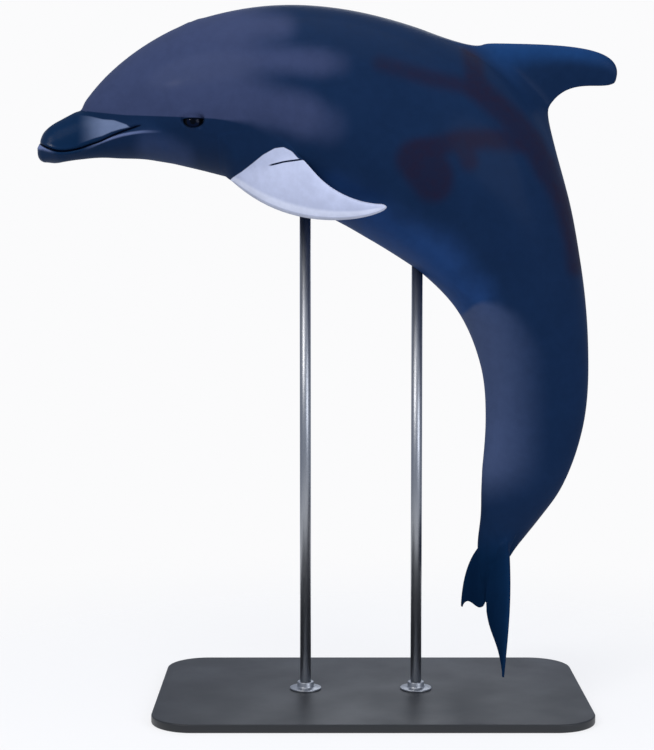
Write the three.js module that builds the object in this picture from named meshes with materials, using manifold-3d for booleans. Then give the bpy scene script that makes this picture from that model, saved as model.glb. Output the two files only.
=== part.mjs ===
// Bottlenose dolphin, life size, leaping over a plain display stand.
//
// Millimetres, +Z up. The animal faces -X and its left side faces -Y. The origin is the middle of
// the underside of the stand's base. The body is laid out along a curved axis that runs from the
// tip of the snout to the notch of the flukes: a distance along that axis, a height above it and
// a distance to the left of it place every part of the animal.

import * as THREE from 'three';
import { mergeVertices } from 'three/addons/utils/BufferGeometryUtils.js';
import Module from 'manifold-3d';

const wasm = await Module();
wasm.setup();

// ---------- Driving sizes ----------

const GAP = 0.3; // clearance kept between pieces that touch
const FAR = 700; // reach of a cutting tool, wider than the animal

const BODY_LENGTH = 2600; // snout tip to fluke notch, along the axis
const SNOUT_TIP = new THREE.Vector3(-965, 0, 1588);

// Pitch of the axis, degrees above level looking back along the body, at distances from the snout.
const PITCH = [
  [0, 21],
  [200, 24],
  [440, 12],
  [600, -1],
  [1000, -27],
  [1400, -53],
  [1800, -77],
  [2120, -102],
  [2300, -114],
  [2440, -107],
  [BODY_LENGTH, -98],
];

// Towards its end the tail turns its left side up and swings to the right, in degrees.
const TAIL_TURN = { from: 2000, to: 2500, twist: 10, swing: 6 };

// Formers of the trunk, square to the axis. Each row holds the distance from the snout, the height
// of the back, the depth of the belly, the half width, the height of the widest line, and the
// fullness of the section across: 2 is an ellipse, less has a keel above and below.
const TRUNK = [
  [145, 45, 34, 30, -5, 2.0],
  [170, 68, 60, 54, -7, 2.0],
  [200, 89, 84, 72, -12, 2.0],
  [280, 130, 124, 104, -22, 2.0],
  [400, 178, 186, 150, -28, 2.0],
  [520, 217, 226, 178, -30, 2.05],
  [700, 264, 256, 210, -25, 2.1],
  [920, 305, 279, 229, -20, 2.1],
  [1160, 343, 271, 231, -10, 2.1],
  [1320, 329, 247, 212, -5, 2.05],
  [1480, 266, 208, 176, 0, 2.0],
  [1640, 209, 174, 138, 0, 1.9],
  [1840, 163, 157, 98, 0, 1.75],
  [2040, 141, 148, 68, 0, 1.6],
  [2200, 119, 129, 50, 0, 1.6],
  [2280, 99, 105, 42, 0, 1.6],
  [2360, 80, 70, 36, 0, 1.6],
  [2440, 58, 47, 31, 6, 1.7],
  [2530, 42, 12, 22, 15, 1.8],
  [BODY_LENGTH, 27, -13, 8, 20, 2.0],
];

// Formers of the jaws and cheeks, in the same columns. They run back inside the head, and the
// crease between beak and melon is where the two skins cross.
const JAWS = [
  [2, 0, 20, 11, -10, 2.0],
  [10, 15, 29, 24, -8, 2.1],
  [20, 27, 34, 32, -8, 2.2],
  [40, 48, 44, 42, -9, 2.3],
  [70, 60, 51, 48, -12, 2.3],
  [100, 64, 59, 53, -16, 2.3],
  [164, 67, 81, 67, -24, 2.2],
  [220, 60, 108, 88, -38, 2.1],
  [280, 40, 133, 111, -52, 2.0],
  [360, 0, 165, 135, -74, 2.0],
  [440, -40, 178, 138, -95, 2.0],
];
const BACK = 1; // columns of the formers
const BELLY = 2;
const HALF_WIDTH = 3;
const BELT = 4;
const FULLNESS = 5;
const UPRIGHT_FULLNESS = 2.05; // the same for all: how full the sections are up and down

// Where the body is divided, along the axis.
const MELON_END = 300;
const HEAD_END = 600;
const CHEST_END = 950;
const BELLY_END = 1400;
const LOIN_END = 1750;
const STOCK_MIDDLE = 2100;

// Distance from the snout and height of the mouth line, from the corner forwards. The lower lip
// stands out in front of the upper jaw, whose tip lies on it.
const MOUTH_LINE = [
  [318, -48],
  [290, -49],
  [262, -46.4],
  [227, -45],
  [188, -44],
  [155, -39.5],
  [133, -37.6],
  [107, -32.6],
  [82, -25.8],
  [59, -14.6],
  [38, 3.6],
  [26, 17],
];
const UPPER_TIP = { at: 19, height: 32, rise: 60 }; // where the mouth line meets the top
const MOUTH = { corner: 318, throat: 405, reach: 16 }; // the throat is the jaw's back end
const LIP = { radius: 10, inset: 6.5, end: 16 }; // round bead under the skin, and how deep it ends
const MOUTH_GROOVE = { radius: 4.5, inset: -2.5, end: -9 }; // its middle is just outside the skin
const CREASE = { at: 164, height: 67, run: 40, rise: 60 };

const EYE = { at: 480, height: -79, radius: 32, proud: 3 };
const EYE_OPENING = { length: 57, corner: 5, upper: 9, lower: -17, depth: 60 };
const LID = { length: 54, out: 36, height: 35 }; // half sizes of the mound round the eye
const BLOWHOLE = { at: 500, left: 6, width: 44, opening: 7, depth: 16 };

// `thickness` is at the root and `tip` at the end; `flare` is added where a fin leaves the body.
const DORSAL_FIN = { from: 1071, to: 1366, height: 269, sweep: 423, thickness: 58, tip: 9, flare: 30 };
const FLIPPER = { at: 585, angle: 151, length: 444, sunk: 22, thickness: 46, tip: 9, flare: 16 };
const FLIPPER_LIE = { dip: 10, tilt: 18, bow: 152, start: -0.1 }; // it starts inside the body
const FLUKE = { at: 2444, lift: 20, span: 284, sweep: 274, curl: 35, thickness: 44, tip: 6, flare: 10 };
const FIN_EDGE = 1.6; // thickness of a fin's trailing edge

const BASE = { length: 1240, width: 760, thickness: 24, corner: 120, bevel: 4 };
const ROD = { radius: 16, front: -192, rear: 132 };
const COLLAR = { radius: 46, flange: 5, slope: 4, neck: 24, height: 22, bevel: 2 };

const SKIN = { dark: 0x142846, head: 0x2f3d5e, tail: 0x1a2f50, pale: 0xb4bdda };

// ---------- Solids ----------

// Gives a closed geometry to the solid modeller, with its shared vertices joined.
function solidOf(geometry) {
  const bare = geometry.clone();
  bare.deleteAttribute('normal');
  bare.deleteAttribute('uv');
  const merged = mergeVertices(bare, 1e-3);
  return new wasm.Manifold(new wasm.Mesh({
    numProp: 3,
    vertProperties: new Float32Array(merged.attributes.position.array),
    triVerts: new Uint32Array(merged.index.array),
  }));
}

function geometryOf(solid) {
  const mesh = solid.getMesh();
  const geometry = new THREE.BufferGeometry();
  geometry.setAttribute('position', new THREE.BufferAttribute(mesh.vertProperties, mesh.numProp));
  geometry.setIndex(new THREE.BufferAttribute(mesh.triVerts, 1));
  geometry.computeVertexNormals();
  return geometry;
}

// The closed pieces of a solid, largest first.
function piecesOf(solid) {
  return solid.decompose().sort((a, b) => b.volume() - a.volume());
}

function centreOf(solid) {
  const box = solid.boundingBox();
  return new THREE.Vector3(...box.min).add(new THREE.Vector3(...box.max)).multiplyScalar(0.5);
}

// Closed skin through rings of equal count, with a fan over each end. The diagonals of one half
// of the rings mirror those of the other, so both faces of a thin fin are split alike.
function loft(rings) {
  const count = rings[0].length;
  const half = Math.floor(count / 2);
  const points = rings.flat();
  const triangles = [];
  for (let row = 0; row < rings.length - 1; row++) {
    for (let i = 0; i < count; i++) {
      const a = row * count + i;
      const b = row * count + ((i + 1) % count);
      if (i < half) triangles.push(a, b, b + count, a, b + count, a + count);
      else triangles.push(a, b, a + count, b, b + count, a + count);
    }
  }
  const last = (rings.length - 1) * count;
  const ends = [rings[0], rings[rings.length - 1]];
  const middles = ends.map((ring) => points.push(middleOf(ring)) - 1);
  for (let i = 0; i < count; i++) {
    const next = (i + 1) % count;
    triangles.push(next, i, middles[0], last + i, last + next, middles[1]);
  }
  const geometry = new THREE.BufferGeometry().setFromPoints(points);
  geometry.setIndex(facesOut(points, triangles) ? triangles : triangles.reverse());
  return geometry;
}

function middleOf(ring) {
  const sum = ring.reduce((total, point) => total.add(point), new THREE.Vector3());
  return sum.divideScalar(ring.length);
}

function facesOut(points, triangles) {
  let volume = 0;
  for (let i = 0; i < triangles.length; i += 3) {
    const [a, b, c] = triangles.slice(i, i + 3).map((index) => points[index]);
    volume += a.dot(new THREE.Vector3().crossVectors(b, c));
  }
  return volume > 0;
}

// ---------- Body axis and sections ----------

// Smooth value of a column of a table whose first column is the distance from the snout.
function valueAt(table, column, at) {
  const last = table.length - 1;
  let i = 0;
  while (i < last - 1 && table[i + 1][0] < at) i++;
  const slope = (row) => {
    const before = table[Math.max(row - 1, 0)];
    const after = table[Math.min(row + 1, last)];
    return (after[column] - before[column]) / (after[0] - before[0]);
  };
  const span = table[i + 1][0] - table[i][0];
  const t = THREE.MathUtils.clamp((at - table[i][0]) / span, 0, 1);
  const rise = t * t * (3 - 2 * t);
  const start = table[i][column] * (1 - rise) + slope(i) * span * t * (1 - t) ** 2;
  return start + table[i + 1][column] * rise + slope(i + 1) * span * t * t * (t - 1);
}

// Directions at a distance from the snout: back along the body, up, and to the left.
function axisDirections(at) {
  const turn = THREE.MathUtils.smoothstep(at, TAIL_TURN.from, TAIL_TURN.to);
  const swing = THREE.MathUtils.degToRad(TAIL_TURN.swing * turn);
  const twist = THREE.MathUtils.degToRad(-TAIL_TURN.twist * turn);
  const pitch = THREE.MathUtils.degToRad(valueAt(PITCH, 1, at));
  const up = new THREE.Vector3(-Math.sin(pitch), 0, Math.cos(pitch));
  const along = new THREE.Vector3(Math.cos(pitch), 0, Math.sin(pitch)).applyAxisAngle(up, swing);
  const left = new THREE.Vector3().crossVectors(along, up).applyAxisAngle(along, twist);
  return { along, up: up.applyAxisAngle(along, twist), left };
}

// The axis is stepped out from the snout along these directions.
const AXIS_STEP = 5;
const AXIS = [SNOUT_TIP];
for (let at = AXIS_STEP / 2; at < BODY_LENGTH; at += AXIS_STEP) {
  AXIS.push(AXIS[AXIS.length - 1].clone().addScaledVector(axisDirections(at).along, AXIS_STEP));
}

function axisPoint(at) {
  const index = THREE.MathUtils.clamp(Math.floor(at / AXIS_STEP), 0, AXIS.length - 2);
  return AXIS[index].clone().lerp(AXIS[index + 1], at / AXIS_STEP - index);
}

function place(at, height, aside = 0) {
  const { up, left } = axisDirections(at);
  return axisPoint(at).addScaledVector(up, height).addScaledVector(left, aside);
}

const signedPower = (value, power) => Math.sign(value) * Math.abs(value) ** power;

// Point of a section, by its angle from the middle of the back, round by the left side.
function sectionPoint(formers, at, angle, grow = 0) {
  const [back, belly, half, belt, fullness] = [BACK, BELLY, HALF_WIDTH, BELT, FULLNESS].map(
    (column) => valueAt(formers, column, at),
  );
  const rise = Math.cos(angle) > 0 ? back - belt : belly + belt;
  const height = belt + (rise + grow) * signedPower(Math.cos(angle), 2 / UPRIGHT_FULLNESS);
  return place(at, height, (half + grow) * signedPower(Math.sin(angle), 2 / fullness));
}

// Half width of a section at a given height over the axis.
function widthAt(formers, at, height) {
  const belt = valueAt(formers, BELT, at);
  const back = valueAt(formers, BACK, at) - belt;
  const belly = valueAt(formers, BELLY, at) + belt;
  const share = Math.abs(height - belt) / (height > belt ? back : belly);
  const cosine = Math.min(share ** (UPRIGHT_FULLNESS / 2), 1);
  const sine = Math.sqrt(1 - cosine * cosine);
  return valueAt(formers, HALF_WIDTH, at) * sine ** (2 / valueAt(formers, FULLNESS, at));
}

const RING_POINTS = 32;
const RING_SPACING = 50;

function ring(formers, at, grow) {
  return Array.from({ length: RING_POINTS }, (_, i) => (
    sectionPoint(formers, at, (i * 2 * Math.PI) / RING_POINTS, grow)
  ));
}

// A length of the trunk between two distances from the snout. Its rings stand at whole multiples
// of the spacing, closer over the melon, so that every length shares one set of facets.
function bodyLength(from, to, grow = 0) {
  const stations = [from];
  for (let at = 0; at < to - 1; at += at < MELON_END ? RING_SPACING / 2 : RING_SPACING) {
    if (at > from + 1) stations.push(at);
  }
  stations.push(to);
  return solidOf(loft(stations.map((at) => ring(TRUNK, at, grow))));
}

// ---------- Head ----------

// Round bead along the mouth, from one corner round the tip to the other, `inset` under the skin
// and at the corners `end` under it.
function mouthBead({ radius, inset, end }) {
  const point = ([at, height], depth, side) => (
    place(at, height, side * (widthAt(JAWS, at, height) - depth))
  );
  const [corner, height] = MOUTH_LINE[0];
  const run = (side) => [
    point([corner + MOUTH.reach, height], end, side),
    ...MOUTH_LINE.map((row) => point(row, inset, side)),
  ];
  const tip = place(UPPER_TIP.at, valueAt(JAWS, BACK, UPPER_TIP.at) - inset);
  const path = new THREE.CatmullRomCurve3([...run(1), tip, ...run(-1).reverse()]);
  const section = new THREE.Shape().absarc(0, 0, radius, 0, 2 * Math.PI);
  return solidOf(new THREE.ExtrudeGeometry(section, {
    steps: 48,
    curveSegments: 4,
    bevelEnabled: false,
    extrudePath: path,
  }));
}

// Thin upright cut through the head along a line of [distance, height] points.
function slit(line) {
  const points = line.map(([at, height]) => {
    const point = place(at, height);
    return new THREE.Vector2(point.x, point.z);
  });
  const edge = (side) => points.map((point, i) => {
    const before = points[Math.max(i - 1, 0)];
    const after = points[Math.min(i + 1, points.length - 1)];
    const run = after.clone().sub(before).normalize();
    return new THREE.Vector2(-run.y, run.x).multiplyScalar((side * GAP) / 2).add(point);
  });
  const outline = new THREE.Shape([...edge(1), ...edge(-1).reverse()]);
  const sheet = new THREE.ExtrudeGeometry(outline, { depth: FAR, bevelEnabled: false });
  sheet.translate(0, 0, -FAR / 2);
  sheet.rotateX(Math.PI / 2);
  return solidOf(sheet);
}

// Eye opening: a half moon with a flat upper lid, cut through the lids from outside.
function eyeOpening(centre, side) {
  const { length, corner, upper, lower, depth } = EYE_OPENING;
  const half = length / 2;
  const outline = new THREE.Shape();
  outline.moveTo(-half, corner);
  outline.quadraticCurveTo(0, 2 * upper - corner, half, corner);
  outline.quadraticCurveTo(0, 2 * lower - corner, -half, corner);
  const prism = new THREE.ExtrudeGeometry(outline, {
    depth,
    curveSegments: 10,
    bevelEnabled: false,
  });
  prism.rotateX(Math.PI / 2);
  prism.translate(centre.x, centre.y, centre.z);
  const inner = EYE.radius / 2;
  prism.translate(0, side > 0 ? -inner : depth + inner, 0);
  return solidOf(prism);
}

function eyeCentre(side) {
  const width = widthAt(TRUNK, EYE.at, EYE.height);
  return place(EYE.at, EYE.height, side * (width + EYE.proud - EYE.radius));
}

function ball(centre, radius) {
  const sphere = new THREE.SphereGeometry(1, 20, 12);
  sphere.rotateX(Math.PI / 2);
  sphere.scale(radius.x, radius.y, radius.z);
  sphere.translate(centre.x, centre.y, centre.z);
  return solidOf(sphere);
}

function withEyeSocket(head, side) {
  const centre = eyeCentre(side);
  const lids = ball(centre, new THREE.Vector3(LID.length, LID.out, LID.height));
  const socket = ball(centre, new THREE.Vector3().setScalar(EYE.radius + GAP));
  return head.add(lids).subtract(socket).subtract(eyeOpening(centre, side));
}

function eyeball(side) {
  return ball(eyeCentre(side), new THREE.Vector3().setScalar(EYE.radius));
}

// Blowhole: a crescent slit, hollow side forward, a little left of the middle of the head.
function blowhole() {
  const half = BLOWHOLE.width / 2;
  const outline = new THREE.Shape();
  outline.moveTo(-BLOWHOLE.opening / 2, -half);
  outline.quadraticCurveTo(half - BLOWHOLE.opening, 0, -BLOWHOLE.opening / 2, half);
  outline.quadraticCurveTo(half + BLOWHOLE.opening * 2, 0, -BLOWHOLE.opening / 2, -half);
  const cutter = new THREE.ExtrudeGeometry(outline, {
    depth: BLOWHOLE.depth * 2,
    curveSegments: 8,
    bevelEnabled: false,
  });
  const { along, up, left } = axisDirections(BLOWHOLE.at);
  const basis = new THREE.Matrix4().makeBasis(along, left.negate(), up);
  const height = valueAt(TRUNK, BACK, BLOWHOLE.at) - BLOWHOLE.depth;
  cutter.applyMatrix4(basis.setPosition(place(BLOWHOLE.at, height, BLOWHOLE.left)));
  return solidOf(cutter);
}

// Head, upper jaw and lower jaw: one form, cut apart along the mouth, the beak's crease and the
// back of the jaw.
function headPieces() {
  const cranium = bodyLength(TRUNK[0][0], HEAD_END - GAP / 2);
  const jawStations = [2, 6, 12, 20, 30, 45, 65, 90, 120, 150, 180, 215, 250, 290, 330, 380, 440];
  const jaws = solidOf(loft(jawStations.map((at) => ring(JAWS, at))));
  let whole = cranium.add(jaws).add(mouthBead(LIP));
  whole = withEyeSocket(withEyeSocket(whole, 1), -1);
  whole = whole.subtract(mouthBead(MOUTH_GROOVE)).subtract(blowhole());
  const corner = MOUTH_LINE[0];
  const above = [UPPER_TIP.at - 2, UPPER_TIP.rise];
  const mouth = slit([above, [UPPER_TIP.at, UPPER_TIP.height], ...[...MOUTH_LINE].reverse()]);
  const throat = slit([corner, [MOUTH.throat, -FAR / 2]]);
  const { at, height, run, rise } = CREASE;
  const crease = slit([corner, [at, height], [at - run, height + rise]]);
  const [head, ...jawPieces] = piecesOf(whole.subtract(mouth).subtract(throat).subtract(crease));
  const [upper, lower] = jawPieces.slice(0, 2).sort((a, b) => centreOf(b).z - centreOf(a).z);
  return { head, upper, lower };
}

// ---------- Fins ----------

const FOIL_STEPS = 9; // points of a section on each face
const FOIL_CROWDING = 1.6; // draws those points towards the leading edge
const FIN_RINGS = 13;
const LAST_RING = 0.985; // share of the span where the last ring stands

// Half thickness of a fin's section across its chord, as a share: round in front, fine behind.
const foil = (chord) => 2.6 * Math.sqrt(chord) * (1 - chord);

// A fin from its two edges. They are curves in the fin's plane from root to tip, `thickness`
// gives the thickness of the section at a share of the span, and `toWorld` sets the fin in place.
function blade(leading, trailing, thickness, toWorld, start = 0) {
  const rings = [];
  for (let row = 0; row <= FIN_RINGS; row++) {
    const share = start + (LAST_RING - start) * Math.sin((row / FIN_RINGS) * (Math.PI / 2));
    const front = leading.getPoint(share);
    const rear = trailing.getPoint(share);
    const half = thickness(share) / 2;
    const face = (sign) => Array.from({ length: FOIL_STEPS }, (_, i) => {
      const chord = ((FOIL_STEPS - i) / FOIL_STEPS) ** FOIL_CROWDING;
      const point = front.clone().lerp(rear, chord);
      return toWorld(point, sign * Math.max(half * foil(chord), FIN_EDGE / 2));
    });
    rings.push([...face(-1), toWorld(front, 0), ...face(1).reverse()]);
  }
  return solidOf(loft(rings));
}

function edge(...points) {
  return new THREE.CubicBezierCurve(...points.map(([x, y]) => new THREE.Vector2(x, y)));
}

// Thickness that falls from root to tip, with a flare where the fin grows out of the body.
function taper({ thickness, tip, flare }) {
  return (share) => tip + (thickness - tip) * (1 - share) ** 0.9 + flare * (1 - share) ** 8;
}

// Dorsal fin: hooked back, standing on the back between two distances from the snout.
function dorsalFin() {
  const root = place(DORSAL_FIN.from, valueAt(TRUNK, BACK, DORSAL_FIN.from));
  const rear = place(DORSAL_FIN.to, valueAt(TRUNK, BACK, DORSAL_FIN.to));
  const chord = rear.clone().sub(root).normalize();
  const span = new THREE.Vector3(-chord.z, 0, chord.x);
  const { height, sweep } = DORSAL_FIN;
  const tip = [sweep, height * 0.9];
  const leading = edge([-70, -60], [sweep * 0.3, height * 0.33], [sweep * 0.86, height * 1.46], tip);
  const trailing = edge([400, -60], [sweep * 0.56, height * 0.55], [sweep * 0.97, height * 0.68], tip);
  return blade(leading, trailing, taper(DORSAL_FIN), (point, out) => (
    root.clone().addScaledVector(chord, point.x).addScaledVector(span, point.y)
      .add(new THREE.Vector3(0, -out, 0))
  ));
}

// Flipper: broad at the root, bowed out from the flank, its leading edge down.
function flipper(side) {
  const root = sectionPoint(TRUNK, FLIPPER.at, THREE.MathUtils.degToRad(FLIPPER.angle));
  const dip = THREE.MathUtils.degToRad(FLIPPER_LIE.dip);
  const tilt = THREE.MathUtils.degToRad(FLIPPER_LIE.tilt);
  const span = new THREE.Vector3(Math.cos(dip), 0, -Math.sin(dip));
  const chord = new THREE.Vector3(Math.sin(dip), 0, Math.cos(dip)).applyAxisAngle(span, tilt);
  const out = new THREE.Vector3().crossVectors(span, chord);
  const { length, sunk } = FLIPPER;
  const tip = [length, 13];
  const leading = edge([15, -39], [length * 0.55, -149], [length * 1.19, 15], tip);
  const trailing = edge([101, 77], [length * 0.49, 176], [length * 0.5, -19], tip);
  return blade(leading, trailing, taper(FLIPPER), (point, offset) => {
    const reach = THREE.MathUtils.clamp(point.x / length, -0.2, 1);
    const bow = FLIPPER_LIE.bow * (2 * reach - reach * reach) - sunk;
    const result = root.clone().addScaledVector(span, point.x).addScaledVector(chord, point.y);
    result.addScaledVector(out, bow + offset);
    return side > 0 ? result : result.multiply(new THREE.Vector3(1, -1, 1));
  }, FLIPPER_LIE.start);
}

// One lobe of the flukes, from the middle of the tail outwards, swept back to a point.
function fluke(side) {
  const { at, lift, span, sweep, curl } = FLUKE;
  const { along, up, left } = axisDirections(at);
  const root = place(at, lift);
  const tip = [sweep, span];
  const leading = edge([-70, GAP], [-8, span * 0.46], [sweep * 0.25, span * 1.05], tip);
  const trailing = edge([156, GAP], [233, span * 0.27], [185, span * 0.71], tip);
  return blade(leading, trailing, taper(FLUKE), (point, out) => (
    root.clone().addScaledVector(along, point.x).addScaledVector(left, side * point.y)
      .addScaledVector(up, out + curl * (Math.max(point.x, 0) / sweep) ** 2)
  ));
}

// The part of a fin outside the body, cut back by the gap.
function rooted(fin, from, to) {
  return piecesOf(fin.subtract(bodyLength(from, to, GAP)))[0];
}

// ---------- Stand ----------

function standBase() {
  const { length, width, thickness, corner, bevel } = BASE;
  const halfLength = length / 2 - bevel;
  const halfWidth = width / 2 - bevel;
  const outline = new THREE.Shape();
  outline.absarc(halfLength - corner, halfWidth - corner, corner, 0, Math.PI / 2);
  outline.absarc(corner - halfLength, halfWidth - corner, corner, Math.PI / 2, Math.PI);
  outline.absarc(corner - halfLength, corner - halfWidth, corner, Math.PI, 1.5 * Math.PI);
  outline.absarc(halfLength - corner, corner - halfWidth, corner, 1.5 * Math.PI, 2 * Math.PI);
  const plate = new THREE.ExtrudeGeometry(outline, {
    depth: thickness - 2 * bevel,
    bevelThickness: bevel,
    bevelSize: bevel,
    bevelSegments: 1,
    curveSegments: 6,
  });
  return plate.translate(0, 0, bevel);
}

// Upright rod from the base to the belly, its top shaped by the skin that it holds.
function standRod(x) {
  const height = SNOUT_TIP.z;
  const rod = new THREE.CylinderGeometry(ROD.radius, ROD.radius, height, 24);
  rod.rotateX(Math.PI / 2);
  rod.translate(x, 0, BASE.thickness + GAP + height / 2);
  const belly = bodyLength(HEAD_END, LOIN_END, GAP);
  const pieces = solidOf(rod).subtract(belly).decompose();
  return pieces.sort((a, b) => centreOf(a).z - centreOf(b).z)[0];
}

function standCollar(x) {
  const { radius, flange, slope, neck, height, bevel } = COLLAR;
  const inner = ROD.radius + GAP;
  const profile = [
    [inner, 0],
    [radius, 0],
    [radius, flange],
    [neck, flange + slope],
    [neck, height - bevel],
    [neck - bevel, height],
    [inner, height],
    [inner, 0],
  ];
  const collar = new THREE.LatheGeometry(profile.map(([r, z]) => new THREE.Vector2(r, z)), 24);
  collar.rotateX(Math.PI / 2);
  return collar.translate(x, 0, BASE.thickness + GAP);
}

// ---------- Model ----------

const dolphin = new THREE.Group();

function addPart(name, shape, color, roughness = 0.4, metalness = 0) {
  const geometry = shape.isBufferGeometry ? shape : geometryOf(shape);
  const material = new THREE.MeshStandardMaterial({ color, roughness, metalness });
  const mesh = new THREE.Mesh(geometry, material);
  mesh.name = name;
  dolphin.add(mesh);
}

const half = GAP / 2;
const { head, upper, lower } = headPieces();
addPart('head', head, SKIN.head);
addPart('upper_jaw', upper, SKIN.dark);
addPart('lower_jaw', lower, SKIN.dark);
addPart('chest', bodyLength(HEAD_END + half, CHEST_END - half), SKIN.head);
addPart('belly', bodyLength(CHEST_END + half, BELLY_END - half), SKIN.dark);
addPart('loin', bodyLength(BELLY_END + half, LOIN_END - half), SKIN.dark);
addPart('tail_front', bodyLength(LOIN_END + half, STOCK_MIDDLE - half), SKIN.tail);
addPart('tail_rear', bodyLength(STOCK_MIDDLE + half, BODY_LENGTH), SKIN.tail);
addPart('dorsal_fin', rooted(dorsalFin(), HEAD_END, LOIN_END), SKIN.dark);

for (const [name, side] of [['left', 1], ['right', -1]]) {
  addPart(`eye_${name}`, eyeball(side), 0x030e28, 0.08);
  addPart(`flipper_${name}`, rooted(flipper(side), MELON_END, BELLY_END), SKIN.pale);
  addPart(`fluke_${name}`, rooted(fluke(side), STOCK_MIDDLE, BODY_LENGTH), SKIN.dark);
}

addPart('stand_base', standBase(), 0x2b2d31, 0.5, 0.3);
for (const [name, x] of [['front', ROD.front], ['rear', ROD.rear]]) {
  addPart(`stand_rod_${name}`, standRod(x), 0xb9bcc0, 0.3, 1);
  addPart(`stand_collar_${name}`, standCollar(x), 0xb9bcc0, 0.3, 1);
}

export default dolphin;
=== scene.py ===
"""A life-size bottlenose dolphin in a leap, on a plain display stand, dressed for the camera."""

import math

import bmesh
import bpy
import numpy as np
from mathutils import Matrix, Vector


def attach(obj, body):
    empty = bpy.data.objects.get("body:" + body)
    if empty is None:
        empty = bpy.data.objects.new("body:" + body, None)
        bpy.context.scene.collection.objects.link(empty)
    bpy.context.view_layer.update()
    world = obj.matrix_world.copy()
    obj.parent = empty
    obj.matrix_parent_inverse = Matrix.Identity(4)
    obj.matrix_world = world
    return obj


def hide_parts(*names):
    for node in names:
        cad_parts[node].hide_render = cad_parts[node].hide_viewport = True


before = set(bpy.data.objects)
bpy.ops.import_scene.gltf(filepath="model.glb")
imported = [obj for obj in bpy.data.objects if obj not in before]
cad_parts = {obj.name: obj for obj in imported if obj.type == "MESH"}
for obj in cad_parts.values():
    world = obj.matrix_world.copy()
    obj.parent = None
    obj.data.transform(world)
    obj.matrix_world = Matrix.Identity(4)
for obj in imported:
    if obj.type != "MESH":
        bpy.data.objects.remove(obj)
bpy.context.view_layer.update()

MM = 0.001


def millimetres(**lengths):
    """Named lengths, given in millimetres and kept in metres."""
    return {name: length * MM for name, length in lengths.items()}


# ---------------------------------------------------------------------------------------------
# Body axis and sections. The animal is laid out along a curved axis from the tip of the snout to
# the notch of the flukes. Formers square to it give the trunk, and a second set the jaws and
# cheeks, which run back inside the head.

BODY_LENGTH = 2600 * MM
SNOUT_TIP = np.array([-965, 0, 1588]) * MM

# Distance from the snout in millimetres, and the axis's pitch there in degrees above level.
PITCH = np.array([
    [0, 21], [200, 24], [440, 12], [600, -1], [1000, -27], [1400, -53], [1800, -77],
    [2120, -102], [2300, -114], [2440, -107], [2600, -98],
], float)
PITCH[:, 0] *= MM
TAIL_TURN = millimetres(start=2000, end=2500)
TAIL_TWIST, TAIL_SWING = -10, 6  # degrees, at the end of the turn

# Distance from the snout, height of the back, depth of the belly, half width, height of the
# widest line, all in millimetres, and the fullness across: 2 is an ellipse, less has a keel.
TRUNK = np.array([
    [145, 45, 34, 30, -5, 2.0], [170, 68, 60, 54, -7, 2.0], [200, 89, 84, 72, -12, 2.0],
    [280, 130, 124, 104, -22, 2.0], [400, 178, 186, 150, -28, 2.0],
    [520, 217, 226, 178, -30, 2.05], [700, 264, 256, 210, -25, 2.1],
    [920, 305, 279, 229, -20, 2.1], [1160, 343, 271, 231, -10, 2.1],
    [1320, 329, 247, 212, -5, 2.05], [1480, 266, 208, 176, 0, 2.0], [1640, 209, 174, 138, 0, 1.9],
    [1840, 163, 157, 98, 0, 1.75], [2040, 141, 148, 68, 0, 1.6], [2200, 119, 129, 50, 0, 1.6],
    [2280, 99, 105, 42, 0, 1.6], [2360, 80, 70, 36, 0, 1.6], [2440, 58, 47, 31, 6, 1.7],
    [2530, 42, 12, 22, 15, 1.8], [2600, 27, -13, 8, 20, 2.0],
])
JAWS = np.array([
    [2, 0, 20, 11, -10, 2.0], [10, 15, 29, 24, -8, 2.1], [20, 27, 34, 32, -8, 2.2],
    [40, 48, 44, 42, -9, 2.3], [70, 60, 51, 48, -12, 2.3], [100, 64, 59, 53, -16, 2.3],
    [164, 67, 81, 67, -24, 2.2], [220, 60, 108, 88, -38, 2.1], [280, 40, 133, 111, -52, 2.0],
    [360, 0, 165, 135, -74, 2.0], [440, -40, 178, 138, -95, 2.0],
])
TRUNK[:, :5] *= MM
JAWS[:, :5] *= MM
BACK = 1  # its column
UPRIGHT_FULLNESS = 2.05  # in height, the same all along
JAWS_END = 440 * MM


def smoothstep(low, high, value):
    t = np.clip((value - low) / (high - low), 0, 1)
    return t * t * (3 - 2 * t)


def table_value(table, column, at):
    """Smooth value of a table's column, whose first column is the distance from the snout."""
    xs, ys = table[:, 0], table[:, column]
    slopes = np.empty_like(ys)
    slopes[1:-1] = (ys[2:] - ys[:-2]) / (xs[2:] - xs[:-2])
    slopes[0] = (ys[1] - ys[0]) / (xs[1] - xs[0])
    slopes[-1] = (ys[-1] - ys[-2]) / (xs[-1] - xs[-2])
    i = np.clip(np.searchsorted(xs, at) - 1, 0, len(xs) - 2)
    span = xs[i + 1] - xs[i]
    t = np.clip((at - xs[i]) / span, 0, 1)
    rise = t * t * (3 - 2 * t)
    start = ys[i] * (1 - rise) + slopes[i] * span * t * (1 - t) ** 2
    return start + ys[i + 1] * rise + slopes[i + 1] * span * t * t * (t - 1)


def former(table, at):
    """Height of the back, depth of the belly, half width, height of the widest line, fullness."""
    return [table_value(table, column, at) for column in range(1, 6)]


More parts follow.
